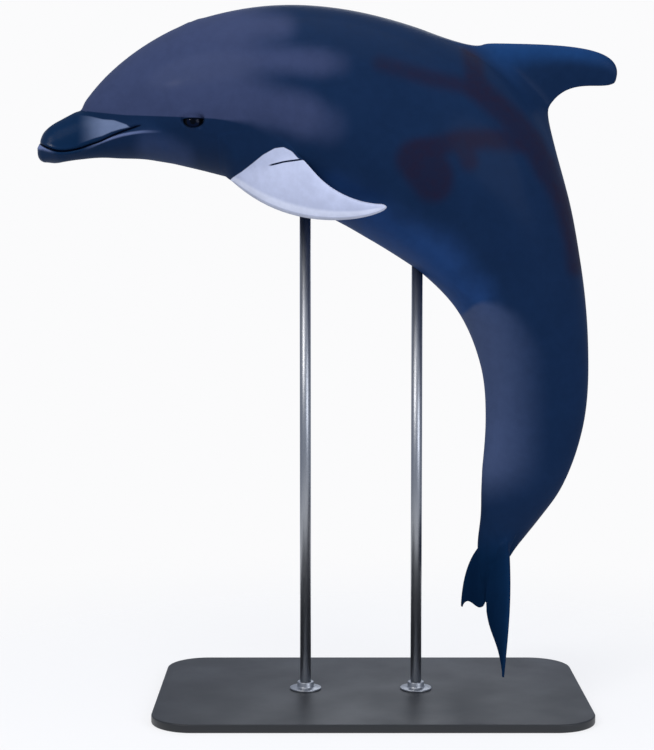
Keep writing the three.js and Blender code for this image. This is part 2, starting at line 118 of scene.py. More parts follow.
def axis_directions(at):
    """Back along the body, up and to the left."""
    at = np.asarray(at, float)
    turn = smoothstep(TAIL_TURN["start"], TAIL_TURN["end"], at)[..., None]
    swing = np.radians(TAIL_SWING) * turn
    twist = np.radians(TAIL_TWIST) * turn
    pitch = np.radians(table_value(PITCH, 1, at))
    zero = np.zeros_like(at)
    up = np.stack([-np.sin(pitch), zero, np.cos(pitch)], -1)
    level = np.stack([np.cos(pitch), zero, np.sin(pitch)], -1)
    right = np.array([0.0, 1.0, 0.0])
    along = level * np.cos(swing) + right * np.sin(swing)
    left = level * np.sin(swing) - right * np.cos(swing)
    upward = up * np.cos(twist) + left * np.sin(twist)
    return along, upward, left * np.cos(twist) - up * np.sin(twist)


AXIS_STEP = 5 * MM
AXIS_AT = np.arange(0, BODY_LENGTH + AXIS_STEP / 2, AXIS_STEP)
AXIS_RUN = axis_directions(AXIS_AT[:-1] + AXIS_STEP / 2)[0] * AXIS_STEP
AXIS = SNOUT_TIP + np.vstack([np.zeros(3), np.cumsum(AXIS_RUN, axis=0)])


def axis_point(at):
    return np.stack([np.interp(at, AXIS_AT, AXIS[:, k]) for k in range(3)], -1)


def place(at, height, aside):
    """Point at a distance from the snout, a height over the axis and a distance to its left."""
    _, up, left = axis_directions(at)
    return axis_point(at) + up * np.asarray(height)[..., None] + left * np.asarray(aside)[..., None]


# ---------------------------------------------------------------------------------------------
# Skin, its surface. A dolphin's skin is hairless and stretched smooth over blubber. Every ring is
# cast from a centre that follows the mouth line, passes through the eye and goes on along the
# flank, so the mesh flows with the mouth and the eye. The lips, the groove between them and the
# crease between beak and melon are raised or sunk in it.

# Distance from the snout and height of the rings' centre, in millimetres.
CENTRE_LINE = np.array([
    [0, -10], [6, -4], [12, 6], [20, 17], [26, 15.5], [32, 10], [38, 3.6], [59, -14.6],
    [82, -25.8], [107, -32.6], [133, -37.6], [155, -39.5], [188, -44], [227, -45], [262, -46.4],
    [290, -48.3], [318, -50], [400, -62], [480, -79], [600, -64], [760, -34], [920, -20],
    [1160, -10], [1480, 0], [2360, 0], [2440, 8], [2530, 16], [2600, 20],
], float) * MM

MOUTH_CORNER = 318 * MM
MOUTH_TIP = np.array([[17, 60], [19, 32], [22, 23.5], [26, 17], [32, 10]]) * MM
MOUTH_SIDE = 38 * MM  # from here to its corner the mouth follows the rings' centre
MOUTH_CLOSING = (MOUTH_CORNER - 20 * MM, MOUTH_CORNER + 10 * MM)
MOUTH_GROOVE = millimetres(depth=11, width=2.4)
GROOVE_SHARE = 0.3  # the groove is never deeper than this share of the radius
UPPER_LIP = millimetres(height=1.6, middle=6, width=4, start=20, full=60)
LOWER_LIP = millimetres(height=3.6, width=5.5, start=0, full=8, fading=330, end=385)
LIP_RIDGE = np.array([
    [8, 12], [26, 3], [51, -18], [76, -31], [100, -40], [151, -46], [186, -47], [224, -50.5],
    [257, -55.4], [285, -61], [320, -69], [352, -79], [381, -87],
]) * MM
RELIEF_END = 400 * MM
CREASE = millimetres(depth=5, width=9, softness=7)
CREASE_RUN = millimetres(start=120, deep=160, soft=165, fading=230, end=330)
JAWS_FADE = (0.8 * JAWS_END, 1.06 * JAWS_END)
JAWS_SINK = 0.3  # share of their reach that the jaws lose where they fade
HALVINGS = 28


def beside_line(x, y, line):
    """Distance from a line in its plane, positive on the left of the way it runs."""
    best = np.full(np.shape(x), np.inf)
    for a, b in zip(line[:-1], line[1:]):
        run = b - a
        t = np.clip(((x - a[0]) * run[0] + (y - a[1]) * run[1]) / (run @ run), 0, 1)
        dx, dy = x - a[0] - t * run[0], y - a[1] - t * run[1]
        distance = np.hypot(dx, dy) * np.where(run[0] * dy - run[1] * dx >= 0, 1, -1)
        best = np.where(np.abs(distance) < np.abs(best), distance, best)
    return best


MOUTH_RUN = np.linspace(MOUTH_SIDE, MOUTH_CORNER, 48)
MOUTH_LINE = np.vstack([
    MOUTH_TIP, np.stack([MOUTH_RUN, table_value(CENTRE_LINE, 1, MOUTH_RUN)], 1)])


def section_radius(formers, at, angle):
    """How far a section reaches from the centre line, along an angle from straight up."""
    back, belly, half, belt, fullness = former(formers, at)
    centre = table_value(CENTRE_LINE, 1, at) - belt
    low, high = np.zeros(np.shape(angle)), np.ones(np.shape(angle))
    for _ in range(HALVINGS):
        middle = (low + high) / 2
        height = centre + middle * np.cos(angle)
        rise = np.where(height > 0, back - belt, belly + belt)
        share = (np.abs(height) / rise) ** UPRIGHT_FULLNESS
        inside = share + np.abs(middle * np.sin(angle) / half) ** fullness < 1
        low, high = np.where(inside, middle, low), np.where(inside, high, middle)
    return low


def skin_radius(at, angle):
    """Reach of the skin from the centre line: trunk and jaws, softly joined, and the mouth."""
    at, angle = np.broadcast_arrays(np.asarray(at, float), np.asarray(angle, float))
    trunk = np.where(at < TRUNK[0, 0], 0, section_radius(TRUNK, at, angle))
    fade = 1 - JAWS_SINK * smoothstep(*JAWS_FADE, at)
    jaws = np.where(at > JAWS_FADE[1], 0, section_radius(JAWS, at, angle) * fade)
    gap, run = trunk - jaws, CREASE_RUN
    soft = CREASE["softness"] * smoothstep(run["start"], run["soft"], at) * (at < JAWS_FADE[1])
    depth = CREASE["depth"] * smoothstep(run["start"], run["deep"], at)
    depth = depth * (1 - smoothstep(run["fading"], run["end"], at))
    radius = (trunk + jaws + np.sqrt(gap**2 + soft**2)) / 2
    radius = np.array(radius - depth * np.exp(-((gap / CREASE["width"]) ** 2)))
    head = at < RELIEF_END
    radius[head] += mouth_relief(at[head], angle[head], radius[head])
    return radius


def mouth_relief(at, angle, radius):
    """Lips raised over the head's form, and the groove between them."""
    height = table_value(CENTRE_LINE, 1, at) + radius * np.cos(angle)
    above = beside_line(at, height, MOUTH_LINE)
    upper = np.exp(-(((above - UPPER_LIP["middle"]) / UPPER_LIP["width"]) ** 2))
    upper = UPPER_LIP["height"] * upper * smoothstep(UPPER_LIP["start"], UPPER_LIP["full"], at)
    groove = np.minimum(MOUTH_GROOVE["depth"], GROOVE_SHARE * radius)
    groove = groove * np.exp(-((above / MOUTH_GROOVE["width"]) ** 2))
    lower = np.exp(-((beside_line(at, height, LIP_RIDGE) / LOWER_LIP["width"]) ** 2))
    lower = lower * (1 - smoothstep(LOWER_LIP["fading"], LOWER_LIP["end"], at))
    lower = LOWER_LIP["height"] * lower * smoothstep(LOWER_LIP["start"], LOWER_LIP["full"], at)
    return (1 - smoothstep(*MOUTH_CLOSING, at)) * (upper - groove) + lower


def skin_point(at, angle, raised=0):
    """Point of the skin at a distance from the snout and an angle from the back, by the left."""
    radius = skin_radius(at, angle) + raised
    centre = table_value(CENTRE_LINE, 1, at)
    return place(at, centre + radius * np.cos(angle), radius * np.sin(angle))


# ---------------------------------------------------------------------------------------------
# Skin, its mesh. Rings of quads, closer over the head and the tail's end, with a rectangle of
# them left out wherever a fin, an eye or the blowhole belongs.

# Distance from the snout and spacing of the rings there, in millimetres.
RING_SPACING = np.array([
    [0, 2.2], [12, 1.6], [45, 2.6], [75, 6], [120, 7.5], [540, 8.5], [700, 19], [2000, 20],
    [2300, 13], [2600, 11],
], float) * MM

RING_START, RING_END_GAP = 2 * MM, 1 * MM
SNOUT_END = 0.3 * MM

# Angles between the columns and the widest line, over the head and over the body.
HEAD_COLUMNS = np.array([0, 1.2, 3, 6, 10, 15, 21, 28, 36, 45, 54, 63, 72, 80, 85.5, 90])
BODY_COLUMNS = np.linspace(0, 90, len(HEAD_COLUMNS))
COLUMNS_CHANGE = (600 * MM, 1000 * MM)
QUARTER = len(HEAD_COLUMNS) - 1
COLUMNS = 4 * QUARTER
LEFT, BELLY_LINE, RIGHT = QUARTER, 2 * QUARTER, 3 * QUARTER

# What each vertex knows of its place, for the markings and the material.
MARKS = ("station", "girth", "root", "chord", "share", "kind", "lid")
BODY, DORSAL, FLIPPER, FLUKE = range(4)


def ring_stations():
    stations = [RING_START]
    while stations[-1] < BODY_LENGTH:
        stations.append(stations[-1] + np.interp(stations[-1], *RING_SPACING.T))
    return np.array(stations) * (BODY_LENGTH - 2 * RING_END_GAP) / stations[-1] + RING_END_GAP


STATIONS = ring_stations()


def column_angle(at, column):
    """Angle of a column, from the back round by the left, in radians."""
    column = np.mod(column, COLUMNS)
    quarter, step = np.divmod(column, QUARTER)
    step = np.where(quarter % 2 == 0, QUARTER - step, step).astype(int)
    spread = smoothstep(*COLUMNS_CHANGE, at)
    offset = HEAD_COLUMNS[step] * (1 - spread) + BODY_COLUMNS[step] * spread
    middle = np.where(column < BELLY_LINE, 90, 270)
    return np.radians(middle + np.where(quarter % 2 == 0, -offset, offset))


class Net:
    """Vertices with their marks, and quads, gathered before the mesh is made."""

    def __init__(self):
        self.points, self.marks, self.faces = [], [], []

    def add(self, points, **marks):
        start = len(self.points)
        rows = np.zeros((len(points), len(MARKS)))
        for name, value in marks.items():
            rows[:, MARKS.index(name)] = value
        self.points.extend(points)
        self.marks.extend(rows)
        return np.arange(start, start + len(points))

    def carry(self, loop, points, **marks):
        """Adds a loop of points, joins it to the last one with quads, and returns it."""
        new = self.add(points, **marks)
        for i in range(len(loop)):
            k = (i + 1) % len(loop)
            self.faces.append((loop[i], loop[k], new[k], new[i]))
        return new

    def fan(self, loop, apex):
        for i in range(len(loop)):
            self.faces.append((loop[i], loop[(i + 1) % len(loop)], apex))

    def mark(self, indices, name):
        return np.array([self.marks[i][MARKS.index(name)] for i in indices])

    def at(self, indices):
        return np.array([self.points[i] for i in indices])


def loop_cells(rows, columns):
    """Corners round a rectangle of cells, from the middle of its front side."""
    half = columns // 2
    front = [(0, b) for b in range(half, columns + 1)]
    near = [(a, columns) for a in range(1, rows + 1)]
    rear = [(rows, b) for b in range(columns - 1, -1, -1)]
    far = [(a, 0) for a in range(rows - 1, -1, -1)]
    return front + near + rear + far + [(0, b) for b in range(1, half)]


def cap(net, loop, rows, columns):
    """Closes a loop with a grid of quads, filled in between its four sides."""
    grid = np.full((rows + 1, columns + 1), -1)
    for index, (a, b) in zip(loop, loop_cells(rows, columns)):
        grid[a, b] = index
    corners = net.at([grid[0, 0], grid[0, columns], grid[rows, 0], grid[rows, columns]])
    marks = dict(zip(MARKS, np.array([net.marks[i] for i in loop]).mean(0)))
    for a in range(1, rows):
        for b in range(1, columns):
            u, v = a / rows, b / columns
            sides = net.at([grid[0, b], grid[rows, b], grid[a, 0], grid[a, columns]])
            point = np.array([1 - u, u, 1 - v, v]) @ sides
            point -= np.array([(1 - u) * (1 - v), (1 - u) * v, u * (1 - v), u * v]) @ corners
            grid[a, b] = net.add([point], **marks)[0]
    for a in range(rows):
        for b in range(columns):
            net.faces.append((grid[a, b], grid[a, b + 1], grid[a + 1, b + 1], grid[a + 1, b]))


def ring_at(at):
    return int(np.argmin(np.abs(STATIONS - at)))


def hole(start, end, middle, reach):
    """First and last ring, and first and last column, of a rectangle left out of the rings.

    It runs from start to end, in millimetres from the snout, and reaches that many columns
    both ways from the middle one."""
    return ring_at(start * MM), ring_at(end * MM), middle - reach, middle + reach


HOLES = {"dorsal": hole(1030, 1425, 0, 2), "blowhole": hole(462, 542, 0, 3)}
for side_name, widest, below in (("left", LEFT, 9), ("right", RIGHT, -9)):
    HOLES[f"flipper_{side_name}"] = hole(552, 890, widest + below, 4)
    HOLES[f"fluke_{side_name}"] = hole(2352, 2600, widest, 9)
    HOLES[f"eye_{side_name}"] = hole(418, 544, widest, 6)

net = Net()
column_index = np.arange(COLUMNS)
grid = []
for at in STATIONS:
    angle = column_angle(at, column_index)
    girth = np.where(angle > np.pi, 2 * np.pi - angle, angle) / np.pi
    grid.append(net.add(skin_point(np.full(COLUMNS, at), angle), station=at, girth=girth))
grid = np.array(grid)

open_cells = np.zeros((len(STATIONS) - 1, COLUMNS), bool)
for first, last, low, high in HOLES.values():
    open_cells[first:last, np.mod(np.arange(low, high), COLUMNS)] = True
for i in range(len(STATIONS) - 1):
    for j in range(COLUMNS):
        k = (j + 1) % COLUMNS
        if not open_cells[i, j]:
            net.faces.append((grid[i, j], grid[i, k], grid[i + 1, k], grid[i + 1, j]))
snout = place(SNOUT_END, CENTRE_LINE[0, 1], 0)
notch = place(BODY_LENGTH, CENTRE_LINE[-1, 1], 0)
net.fan(grid[0], net.add([snout], girth=0.5)[0])
net.fan(grid[-1], net.add([notch], station=BODY_LENGTH, girth=0.5)[0])


def rim_of(name):
    """Vertices round a hole, in loop order, with its numbers of rows and columns."""
    first, last, low, high = HOLES[name]
    rows, columns = last - first, high - low
    cells = loop_cells(rows, columns)
    return np.array([grid[first + a, (low + b) % COLUMNS] for a, b in cells]), rows, columns


# ---------------------------------------------------------------------------------------------
# Fins. The dorsal fin and the flukes are tough fibrous plates without bone, and the flippers are
# stiff paddles over the arm bones. All have a foil's section, round in front and fine behind,
# and grow out of the body in a smooth fillet. Their edges are curves in the fin's own plane.

# All sizes of the fins are in millimetres, and their angles in degrees.
FIN_EDGE = 1.8
FOIL_FULLNESS = 2.6  # makes the greatest thickness of a foil 1
TAPER, FLARE_TAPER = 0.9, 8  # powers by which thickness and flare fall off along the span
DORSAL_FIN = {"start": 1071, "end": 1366, "height": 269, "sweep": 423}
FLIPPER_LIE = {"at": 585, "angle": 151, "dip": 10, "tilt": 18, "bow": 152, "sunk": 22}
FLIPPER_LENGTH = 444
FLUKES = {"at": 2444, "lift": 20, "span": 284, "sweep": 274, "curl": 35}


def unit(vectors):
    return vectors / np.linalg.norm(vectors, axis=-1, keepdims=True)


def bezier(points, t):
    a, b, c, d = np.array(points, float)
    t = np.asarray(t)[..., None]
    return a * (1 - t) ** 3 + 3 * b * t * (1 - t) ** 2 + 3 * c * t * t * (1 - t) + d * t**3


def blade(leading, trailing, thickness, tip, flare):
    """Function of share of span, chord and face that gives a point of a fin, in millimetres."""
    def point(share, chord, face):
        front, rear = bezier(leading, share), bezier(trailing, share)
        plane = front + (rear - front) * chord[..., None]
        left = 1 - share
        depth = tip + (thickness - tip) * left**TAPER + flare * left**FLARE_TAPER
        foil = FOIL_FULLNESS * np.sqrt(chord) * (1 - chord)
        out = face * np.maximum(depth / 2 * foil, FIN_EDGE / 2)
        return plane[..., 0], plane[..., 1], out
    return point


def laid_out(root, ways, *sizes):
    """Points from a fin's root, by their sizes along its three directions."""
    return root + np.stack(sizes, -1) @ np.array(ways) * MM


def dorsal_fin():
    height, sweep = DORSAL_FIN["height"], DORSAL_FIN["sweep"]
    start, end = DORSAL_FIN["start"] * MM, DORSAL_FIN["end"] * MM
    root = place(start, table_value(TRUNK, BACK, start), 0)
    chord_way = unit(place(end, table_value(TRUNK, BACK, end), 0) - root)
    ways = [chord_way, (-chord_way[2], 0, chord_way[0]), (0, -1, 0)]
    tip = (sweep, 0.9 * height)
    shape = blade(
        [(-70, -60), (0.3 * sweep, 0.33 * height), (0.86 * sweep, 1.46 * height), tip],
        [(400, -60), (0.56 * sweep, 0.55 * height), (0.97 * sweep, 0.68 * height), tip],
        thickness=58, tip=9, flare=30,
    )
    return lambda share, chord, face: laid_out(root, ways, *shape(share, chord, face))


def flipper(side):
    at, angle = FLIPPER_LIE["at"] * MM, math.radians(FLIPPER_LIE["angle"])
    _, belly, half, belt, fullness = former(TRUNK, at)
    fall = (belly + belt) * abs(math.cos(angle)) ** (2 / UPRIGHT_FULLNESS)
    root = place(at, belt - fall, half * math.sin(angle) ** (2 / fullness))
    dip, tilt = math.radians(FLIPPER_LIE["dip"]), math.radians(FLIPPER_LIE["tilt"])
    span_way = np.array([math.cos(dip), 0, -math.sin(dip)])
    upright = np.array([math.sin(dip), 0, math.cos(dip)])
    chord_way = upright * math.cos(tilt) + np.array([0.0, -1.0, 0.0]) * math.sin(tilt)
    ways = [span_way, chord_way, np.cross(span_way, chord_way)]
    length = FLIPPER_LENGTH
    shape = blade(
        [(15, -39), (0.55 * length, -149), (1.19 * length, 15), (length, 13)],
        [(101, 77), (0.49 * length, 176), (0.5 * length, -19), (length, 13)],
        thickness=46, tip=9, flare=16,
    )

    def point(share, chord, face):
        x, y, out = shape(share, chord, face)
        reach = np.clip(x / length, -0.2, 1)
        out = out + FLIPPER_LIE["bow"] * (2 * reach - reach**2) - FLIPPER_LIE["sunk"]
        return laid_out(root, ways, x, y, out) * np.array([1, side, 1])
    return point


def fluke(side):
    along, up, left = axis_directions(FLUKES["at"] * MM)
    root = place(FLUKES["at"] * MM, FLUKES["lift"] * MM, 0)
    span, sweep = FLUKES["span"], FLUKES["sweep"]
    tip = (sweep, span)
    shape = blade(
        [(-70, 0), (-8, 0.46 * span), (0.25 * sweep, 1.05 * span), tip],
        [(156, 0), (233, 0.27 * span), (185, 0.71 * span), tip],
        thickness=44, tip=6, flare=10,
    )

    def point(share, chord, face):
        x, y, out = shape(share, chord, face)
        out = out + FLUKES["curl"] * (np.maximum(x, 0) / sweep) ** 2
        return laid_out(root, [along, side * left, up], x, y, out)
    return point


def over_skin(points):
    """Distance from the snout, angle from the back and height over the skin of points."""
    stations = AXIS_AT[::2]
    base, (along, _, _) = axis_point(stations), axis_directions(stations)
    offset = np.einsum("nsk,sk->ns", points[:, None] - base, along)
    crossing = (offset[:, :-1] > 0) & (offset[:, 1:] <= 0)
    distance = np.linalg.norm(points[:, None] - base[:-1], axis=2)
    # The nearest step that lies level with the point, or the nearest of all where none does.
    i = np.argmin(distance + np.where(crossing, 0, 4 * BODY_LENGTH), axis=1)
    here, beyond = (offset[np.arange(len(points)), k] for k in (i, i + 1))
    at = stations[i] + np.clip(here / np.maximum(here - beyond, 1e-9), 0, 1) * 2 * AXIS_STEP
    _, up, left = axis_directions(at)
    away = points - axis_point(at)
    height = (away * up).sum(1) - table_value(CENTRE_LINE, 1, at)
    aside = (away * left).sum(1)
    angle = np.arctan2(aside, height)
    return at, angle, np.hypot(height, aside) - skin_radius(at, angle)


SPAN_STEPS = 100
LAST_ROOT_STEP = 70  # no fin is still inside the body past this one
MATCH_SHARE = 0.15  # share of span of the section that is matched to the hole
ROOT_RUN = 0.02  # share of span over which the fin's own direction is measured
FIN_END = 0.988  # share of span of the last loop, which the tip's cap closes
CHORD_SPREAD = 1.7  # power that sets more of a section's points near its front
FILLET_LOOPS = 5


def matched_section(rim_points, station, point, peel):
    """Chord and face of a fin's section for each point of a rim, turned until they lie closest.

    A `peel` above 0 also draws the section's first face to the rim's front."""
    count = len(rim_points)
    half = count // 2
    index = np.arange(count)
    chord = np.minimum(np.minimum(index, count - index) / (half - 1), 1)
    chord = chord**CHORD_SPREAD
    face = np.where(index % half == 0, 0, np.where(index < half, 1, -1))
    best = None
    for turn in range(count):
        for sign in (1, -1):
            c, f = np.roll(chord, turn), np.roll(face, turn) * sign
            start = point(np.full(count, MATCH_SHARE), c, f)
            apart = (start - start.mean(0)) - (rim_points - rim_points.mean(0))
            cost = (apart**2).sum() + peel * (f * (station - station.mean())).sum()
            if best is None or cost < best[0]:
                best = (cost, c, f)
    return best[1:]


def evened(values):
    """Mean of each value round a loop and its two neighbours."""
    return (np.roll(values, 1) + values + np.roll(values, -1)) / 3


def fin_start(point, chord, face, clearance, reach):
    """Shares of span where a fin's surface leaves the body, and where its fillet meets it."""
    shares = np.linspace(0, 1, SPAN_STEPS + 1)
    chord, face = (np.tile(values, (len(shares), 1)) for values in (chord, face))
    points = point(shares[:, None], chord, face).reshape(-1, 3)
    out = over_skin(points)[2].reshape(chord.shape).T
    inside = np.array([np.max(np.nonzero(row[:LAST_ROOT_STEP] < 0)[0], initial=0) for row in out])
    clear = [
        next((i for i in range(start, len(shares)) if row[i] >= clearance), SPAN_STEPS)
        for start, row in zip(inside, out)
    ]
    begin = np.minimum(shares[clear], shares[inside] + reach)
    for _ in range(6):  # the start runs evenly round the fin
        begin = np.maximum(begin, evened(begin))
    return shares[inside], begin


def fillet_on_skin(rim_points, first, flat):
    """Points of a fillet measured along the skin, by the share of the way up to the fin.

    Where `flat` is 1 it also ends along the skin, and where it is 0 square to it."""
    rim_at, rim_angle, _ = over_skin(rim_points)
    end_at, end_angle, end_rise = over_skin(first)
    turn = np.mod(end_angle - rim_angle + np.pi, 2 * np.pi) - np.pi

    def points(t):
        across = flat * t + (1 - flat) * math.sin(t * math.pi / 2)
        up = flat * t * t * (3 - 2 * t) + (1 - flat) * (1 - math.cos(t * math.pi / 2))
        return skin_point(
            rim_at + (end_at - rim_at) * across, rim_angle + turn * across, end_rise * up)
    return points


def fillet_to_fin(rim_points, station, first, rise, middle):
    """Points of a fillet that leaves the skin for the root's middle and ends along the fin."""
    base = table_value(CENTRE_LINE, 1, station)
    outwards = unit(rim_points - place(station, base, np.zeros_like(base)))
    inwards = middle - rim_points
    inwards = unit(inwards - outwards * (inwards * outwards).sum(1)[:, None])
    gap = np.linalg.norm(first - rim_points, axis=1)[:, None]

    def points(t):
        mix = t * t * (3 - 2 * t)
        curve = rim_points * (1 - mix) + first * mix
        return curve + inwards * gap * t * (1 - t) ** 2 + rise * gap * t * t * (t - 1)
    return points


def grow_fin(name, kind, point, clearance, reach, rows, peel=0):
    """Joins a fin to the rim of its hole and carries it out to its tip."""
    rim, ring_count, column_count = rim_of(name)
    rim_points, station = net.at(rim), net.mark(rim, "station")
    chord, face = matched_section(rim_points, station, point, peel)
    inside, begin = fin_start(point, chord, face, clearance, reach)
    first = point(begin, chord, face)
    if kind == FLUKE:
        rise = unit(first - point(begin - ROOT_RUN, chord, face))
        fillet = fillet_to_fin(
            rim_points, station, first, rise, point(inside, chord, face).mean(0))
    else:
        flat = (face + 1) / 2 if kind == FLIPPER else np.zeros(len(rim))
        for _ in range(8):
            flat = evened(flat)
        fillet = fillet_on_skin(rim_points, first, flat)
    behind = (kind == FLIPPER) & ((face < 0) | ((face == 0) & (chord > 0.5)))
    marks = {"station": station, "girth": net.mark(rim, "girth"), "chord": chord}
    loop = rim
    for k in range(1, FILLET_LOOPS + 1):
        t = k / (FILLET_LOOPS + 1)
        loop = net.carry(
            loop, fillet(t), root=t, share=begin, kind=np.where(behind, BODY, kind), **marks)
    for k in range(rows + 1):
        share = begin + (FIN_END - begin) * math.sin(k / rows * math.pi / 2)
        loop = net.carry(
            loop, point(share, chord, face), root=1, share=share, kind=kind, **marks)
    front = int(np.argmin(np.where(face == 0, chord, 2)))
    cap(net, np.roll(loop, -front), ring_count, column_count)


grow_fin("dorsal", DORSAL, dorsal_fin(), clearance=40 * MM, reach=0.3, rows=20)
for side_name, mirror in (("left", 1), ("right", -1)):
    grow_fin(
        f"flipper_{side_name}", FLIPPER, flipper(mirror), clearance=17 * MM, reach=0.1, rows=24,
        peel=0.05)
    grow_fin(f"fluke_{side_name}", FLUKE, fluke(mirror), clearance=14 * MM, reach=0.2, rows=20)


# ---------------------------------------------------------------------------------------------
# Lids and eyes. The eye looks out sideways from a low mound of skin. Its opening is a half moon
# with a straight upper lid, and the lids close round a glossy ball that is dark all over.

EYE = millimetres(at=480, height=-79, radius=32, proud=3)
EYE_OPENING = millimetres(half=28.5, corner=5, upper=9, lower=-17)
LID = millimetres(rim=3.2, mound=7, along=46, across=32, fold=1.0)
LID_ROUND = millimetres(along=47, across=32)  # half sizes of the oval that the loops pass through
LID_LOOPS = (0.16, 0.32, 0.46, 0.58, 0.68, 0.77, 0.85, 0.91, 0.96, 1.0)
FOLD_AT, FOLD_WIDTH = 0.77, 0.07  # shares of the way from the hole's rim to the opening
LID_EDGE = ((1.6, 2.6), (2.0, 1.2), (1.4, 0.4))  # millimetres a loop turns in, and off the ball
SOCKET_LOOPS = (0.2, 0.4, 0.6, 0.8, 0.93)  # shares of the way round the back of the ball


def section_width(formers, at, height):
    """Half width of a section at a height over the axis."""
    back, belly, half, belt, fullness = former(formers, at)
    share = abs(height - belt) / (back - belt if height > belt else belly + belt)
    return half * (1 - share**UPRIGHT_FULLNESS) ** (1 / fullness)


def eye_frame(side):
    """Centre of the eyeball, and the directions back, up and out of the head there."""
    at, height = EYE["at"], EYE["height"]
    aside = section_width(TRUNK, at, height) + EYE["proud"] - EYE["radius"]
    along, up, left = axis_directions(at)
    return place(at, height, side * aside), along, up, left * side


def turn_round(x, y):
    """Angle round a patch, 0 at its front, of places measured back and up from its middle."""
    return np.arctan2(y / np.abs(y).max(), -x / np.abs(x).max())


def eye_opening(turn):
    """The edge of the opening, which stays level, measured back and up in the pitched head."""
    lid = np.where(turn > 0, EYE_OPENING["upper"], EYE_OPENING["lower"])
    x = -EYE_OPENING["half"] * np.cos(turn)
    y = EYE_OPENING["corner"] + (lid - EYE_OPENING["corner"]) * np.abs(np.sin(turn)) ** 0.85
    tilt = math.radians(table_value(PITCH, 1, EYE["at"]))
    return x * math.cos(tilt) + y * math.sin(tilt), y * math.cos(tilt) - x * math.sin(tilt)


def eye_patch(name, side):
    """Lids round one eye, and the socket behind it, joined to the rim of the hole."""
    rim, _, _ = rim_of(name)
    centre, along, up, outward = eye_frame(side)
    radius = float(skin_radius(EYE["at"], np.radians(90)))
    x0 = net.mark(rim, "station") - EYE["at"]
    y0 = (0.5 - net.mark(rim, "girth")) * math.pi * radius
    turn = turn_round(x0, y0)
    x1, y1 = eye_opening(turn)
    middle_x, middle_y = x1.mean(), y1.mean()
    round_x = middle_x - LID_ROUND["along"] * np.cos(turn)
    round_y = middle_y + LID_ROUND["across"] * np.sin(turn)

    def on_ball(x, y, reach):
        depth = np.sqrt(np.maximum(reach**2 - x**2 - y**2, 0))
        return centre + x[:, None] * along + y[:, None] * up + depth[:, None] * outward

    loop = rim
    for w in LID_LOOPS:
        x = x0 * (1 - w) ** 2 + 2 * round_x * w * (1 - w) + x1 * w**2
        y = y0 * (1 - w) ** 2 + 2 * round_y * w * (1 - w) + y1 * w**2
        mound = LID["mound"] * np.exp(-((x / LID["along"]) ** 2) - (y / LID["across"]) ** 2)
        fold = LID["fold"] * np.exp(-(((w - FOLD_AT) / FOLD_WIDTH) ** 2)) * np.sin(turn).clip(0)
        surface = skin_point(EYE["at"] + x, side * (math.pi / 2 - y / radius), mound - fold)
        blend = smoothstep(0.72, 1.0, w)
        points = surface * (1 - blend) + on_ball(x, y, EYE["radius"] + LID["rim"]) * blend
        girth = 0.5 - y / radius / math.pi
        loop = net.carry(loop, points, station=EYE["at"] + x, girth=girth, lid=w)
    marks = {"station": EYE["at"], "girth": 0.5, "lid": 1}
    for inward, off in LID_EDGE:
        shrink = 1 - inward * MM / np.hypot(x1 - middle_x, y1 - middle_y).clip(4 * MM)
        x, y = middle_x + (x1 - middle_x) * shrink, middle_y + (y1 - middle_y) * shrink
        loop = net.carry(loop, on_ball(x, y, EYE["radius"] + off * MM), **marks)
    ball = EYE["radius"] + LID_EDGE[-1][1] * MM
    spokes = unit(net.at(loop) - centre)
    start = np.arccos(np.clip(spokes @ outward, -1, 1))
    flat = unit(spokes - (spokes @ outward)[:, None] * outward)
    for t in SOCKET_LOOPS:
        angle = (start + (math.pi - start) * t)[:, None]
        points = centre + ball * (np.cos(angle) * outward + np.sin(angle) * flat)
        loop = net.carry(loop, points, **marks)
    net.fan(loop, net.add([centre - ball * outward], **marks)[0])


eye_patch("eye_left", 1)
eye_patch("eye_right", -1)

# ---------------------------------------------------------------------------------------------
# Blowhole. One crescent slit on top of the head, hollow side forward and a little to the left,
# with a soft raised rim. It closes a short way down.

BLOWHOLE = millimetres(
    at=500, left=6, half=22, front=5.5, rear=16, horn=-3.5, depth=16, rim=1.4, lip=2.5)
BLOWHOLE_LOOPS = (0.35, 0.6, 0.78, 0.9, 1.0)  # shares of the way from the hole's rim to the slit
BLOWHOLE_THROAT = ((0.25, 0.86), (0.6, 0.8), (1.0, 0.72))  # shares of its depth and of its size


def blowhole_patch():
    rim, rows, columns = rim_of("blowhole")
    radius = float(skin_radius(BLOWHOLE["at"], 0.0))
    on_left = np.where(np.arange(len(rim)) < len(rim) // 2, 1, -1)
    x0 = net.mark(rim, "station") - BLOWHOLE["at"]
    y0 = on_left * net.mark(rim, "girth") * math.pi * radius - BLOWHOLE["left"]
    turn = turn_round(x0, y0)
    bulge = np.where(np.abs(turn) < math.pi / 2, BLOWHOLE["front"], BLOWHOLE["rear"])
    x1 = BLOWHOLE["horn"] + (bulge - BLOWHOLE["horn"]) * np.cos(turn) ** 2
    y1 = BLOWHOLE["half"] * np.sin(turn)

    def carried(loop, x, y, raised, lid):
        at = BLOWHOLE["at"] + x
        points = skin_point(at, (y + BLOWHOLE["left"]) / radius, raised)
        return net.carry(loop, points, station=at, girth=0.01, lid=lid)

    loop = rim
    for w in BLOWHOLE_LOOPS:
        raised = BLOWHOLE["rim"] * smoothstep(0.4, 0.85, w) - BLOWHOLE["lip"] * (w == 1)
        loop = carried(loop, x0 + (x1 - x0) * w, y0 + (y1 - y0) * w, raised, 0.5 * w)
    # The throat's loops carry a lid mark of 1, which the skin's material paints near-black: painted
    # shade down inside the hole.
    for down, size in BLOWHOLE_THROAT:
        x = x1.mean() + (x1 - x1.mean()) * (0.3 + 0.7 * size)
        loop = carried(loop, x, y1 * size, -BLOWHOLE["depth"] * down, 1)
    cap(net, loop, rows, columns)


blowhole_patch()

# The skin's mesh. The net is subdivided once, which rounds every ridge and fillet.


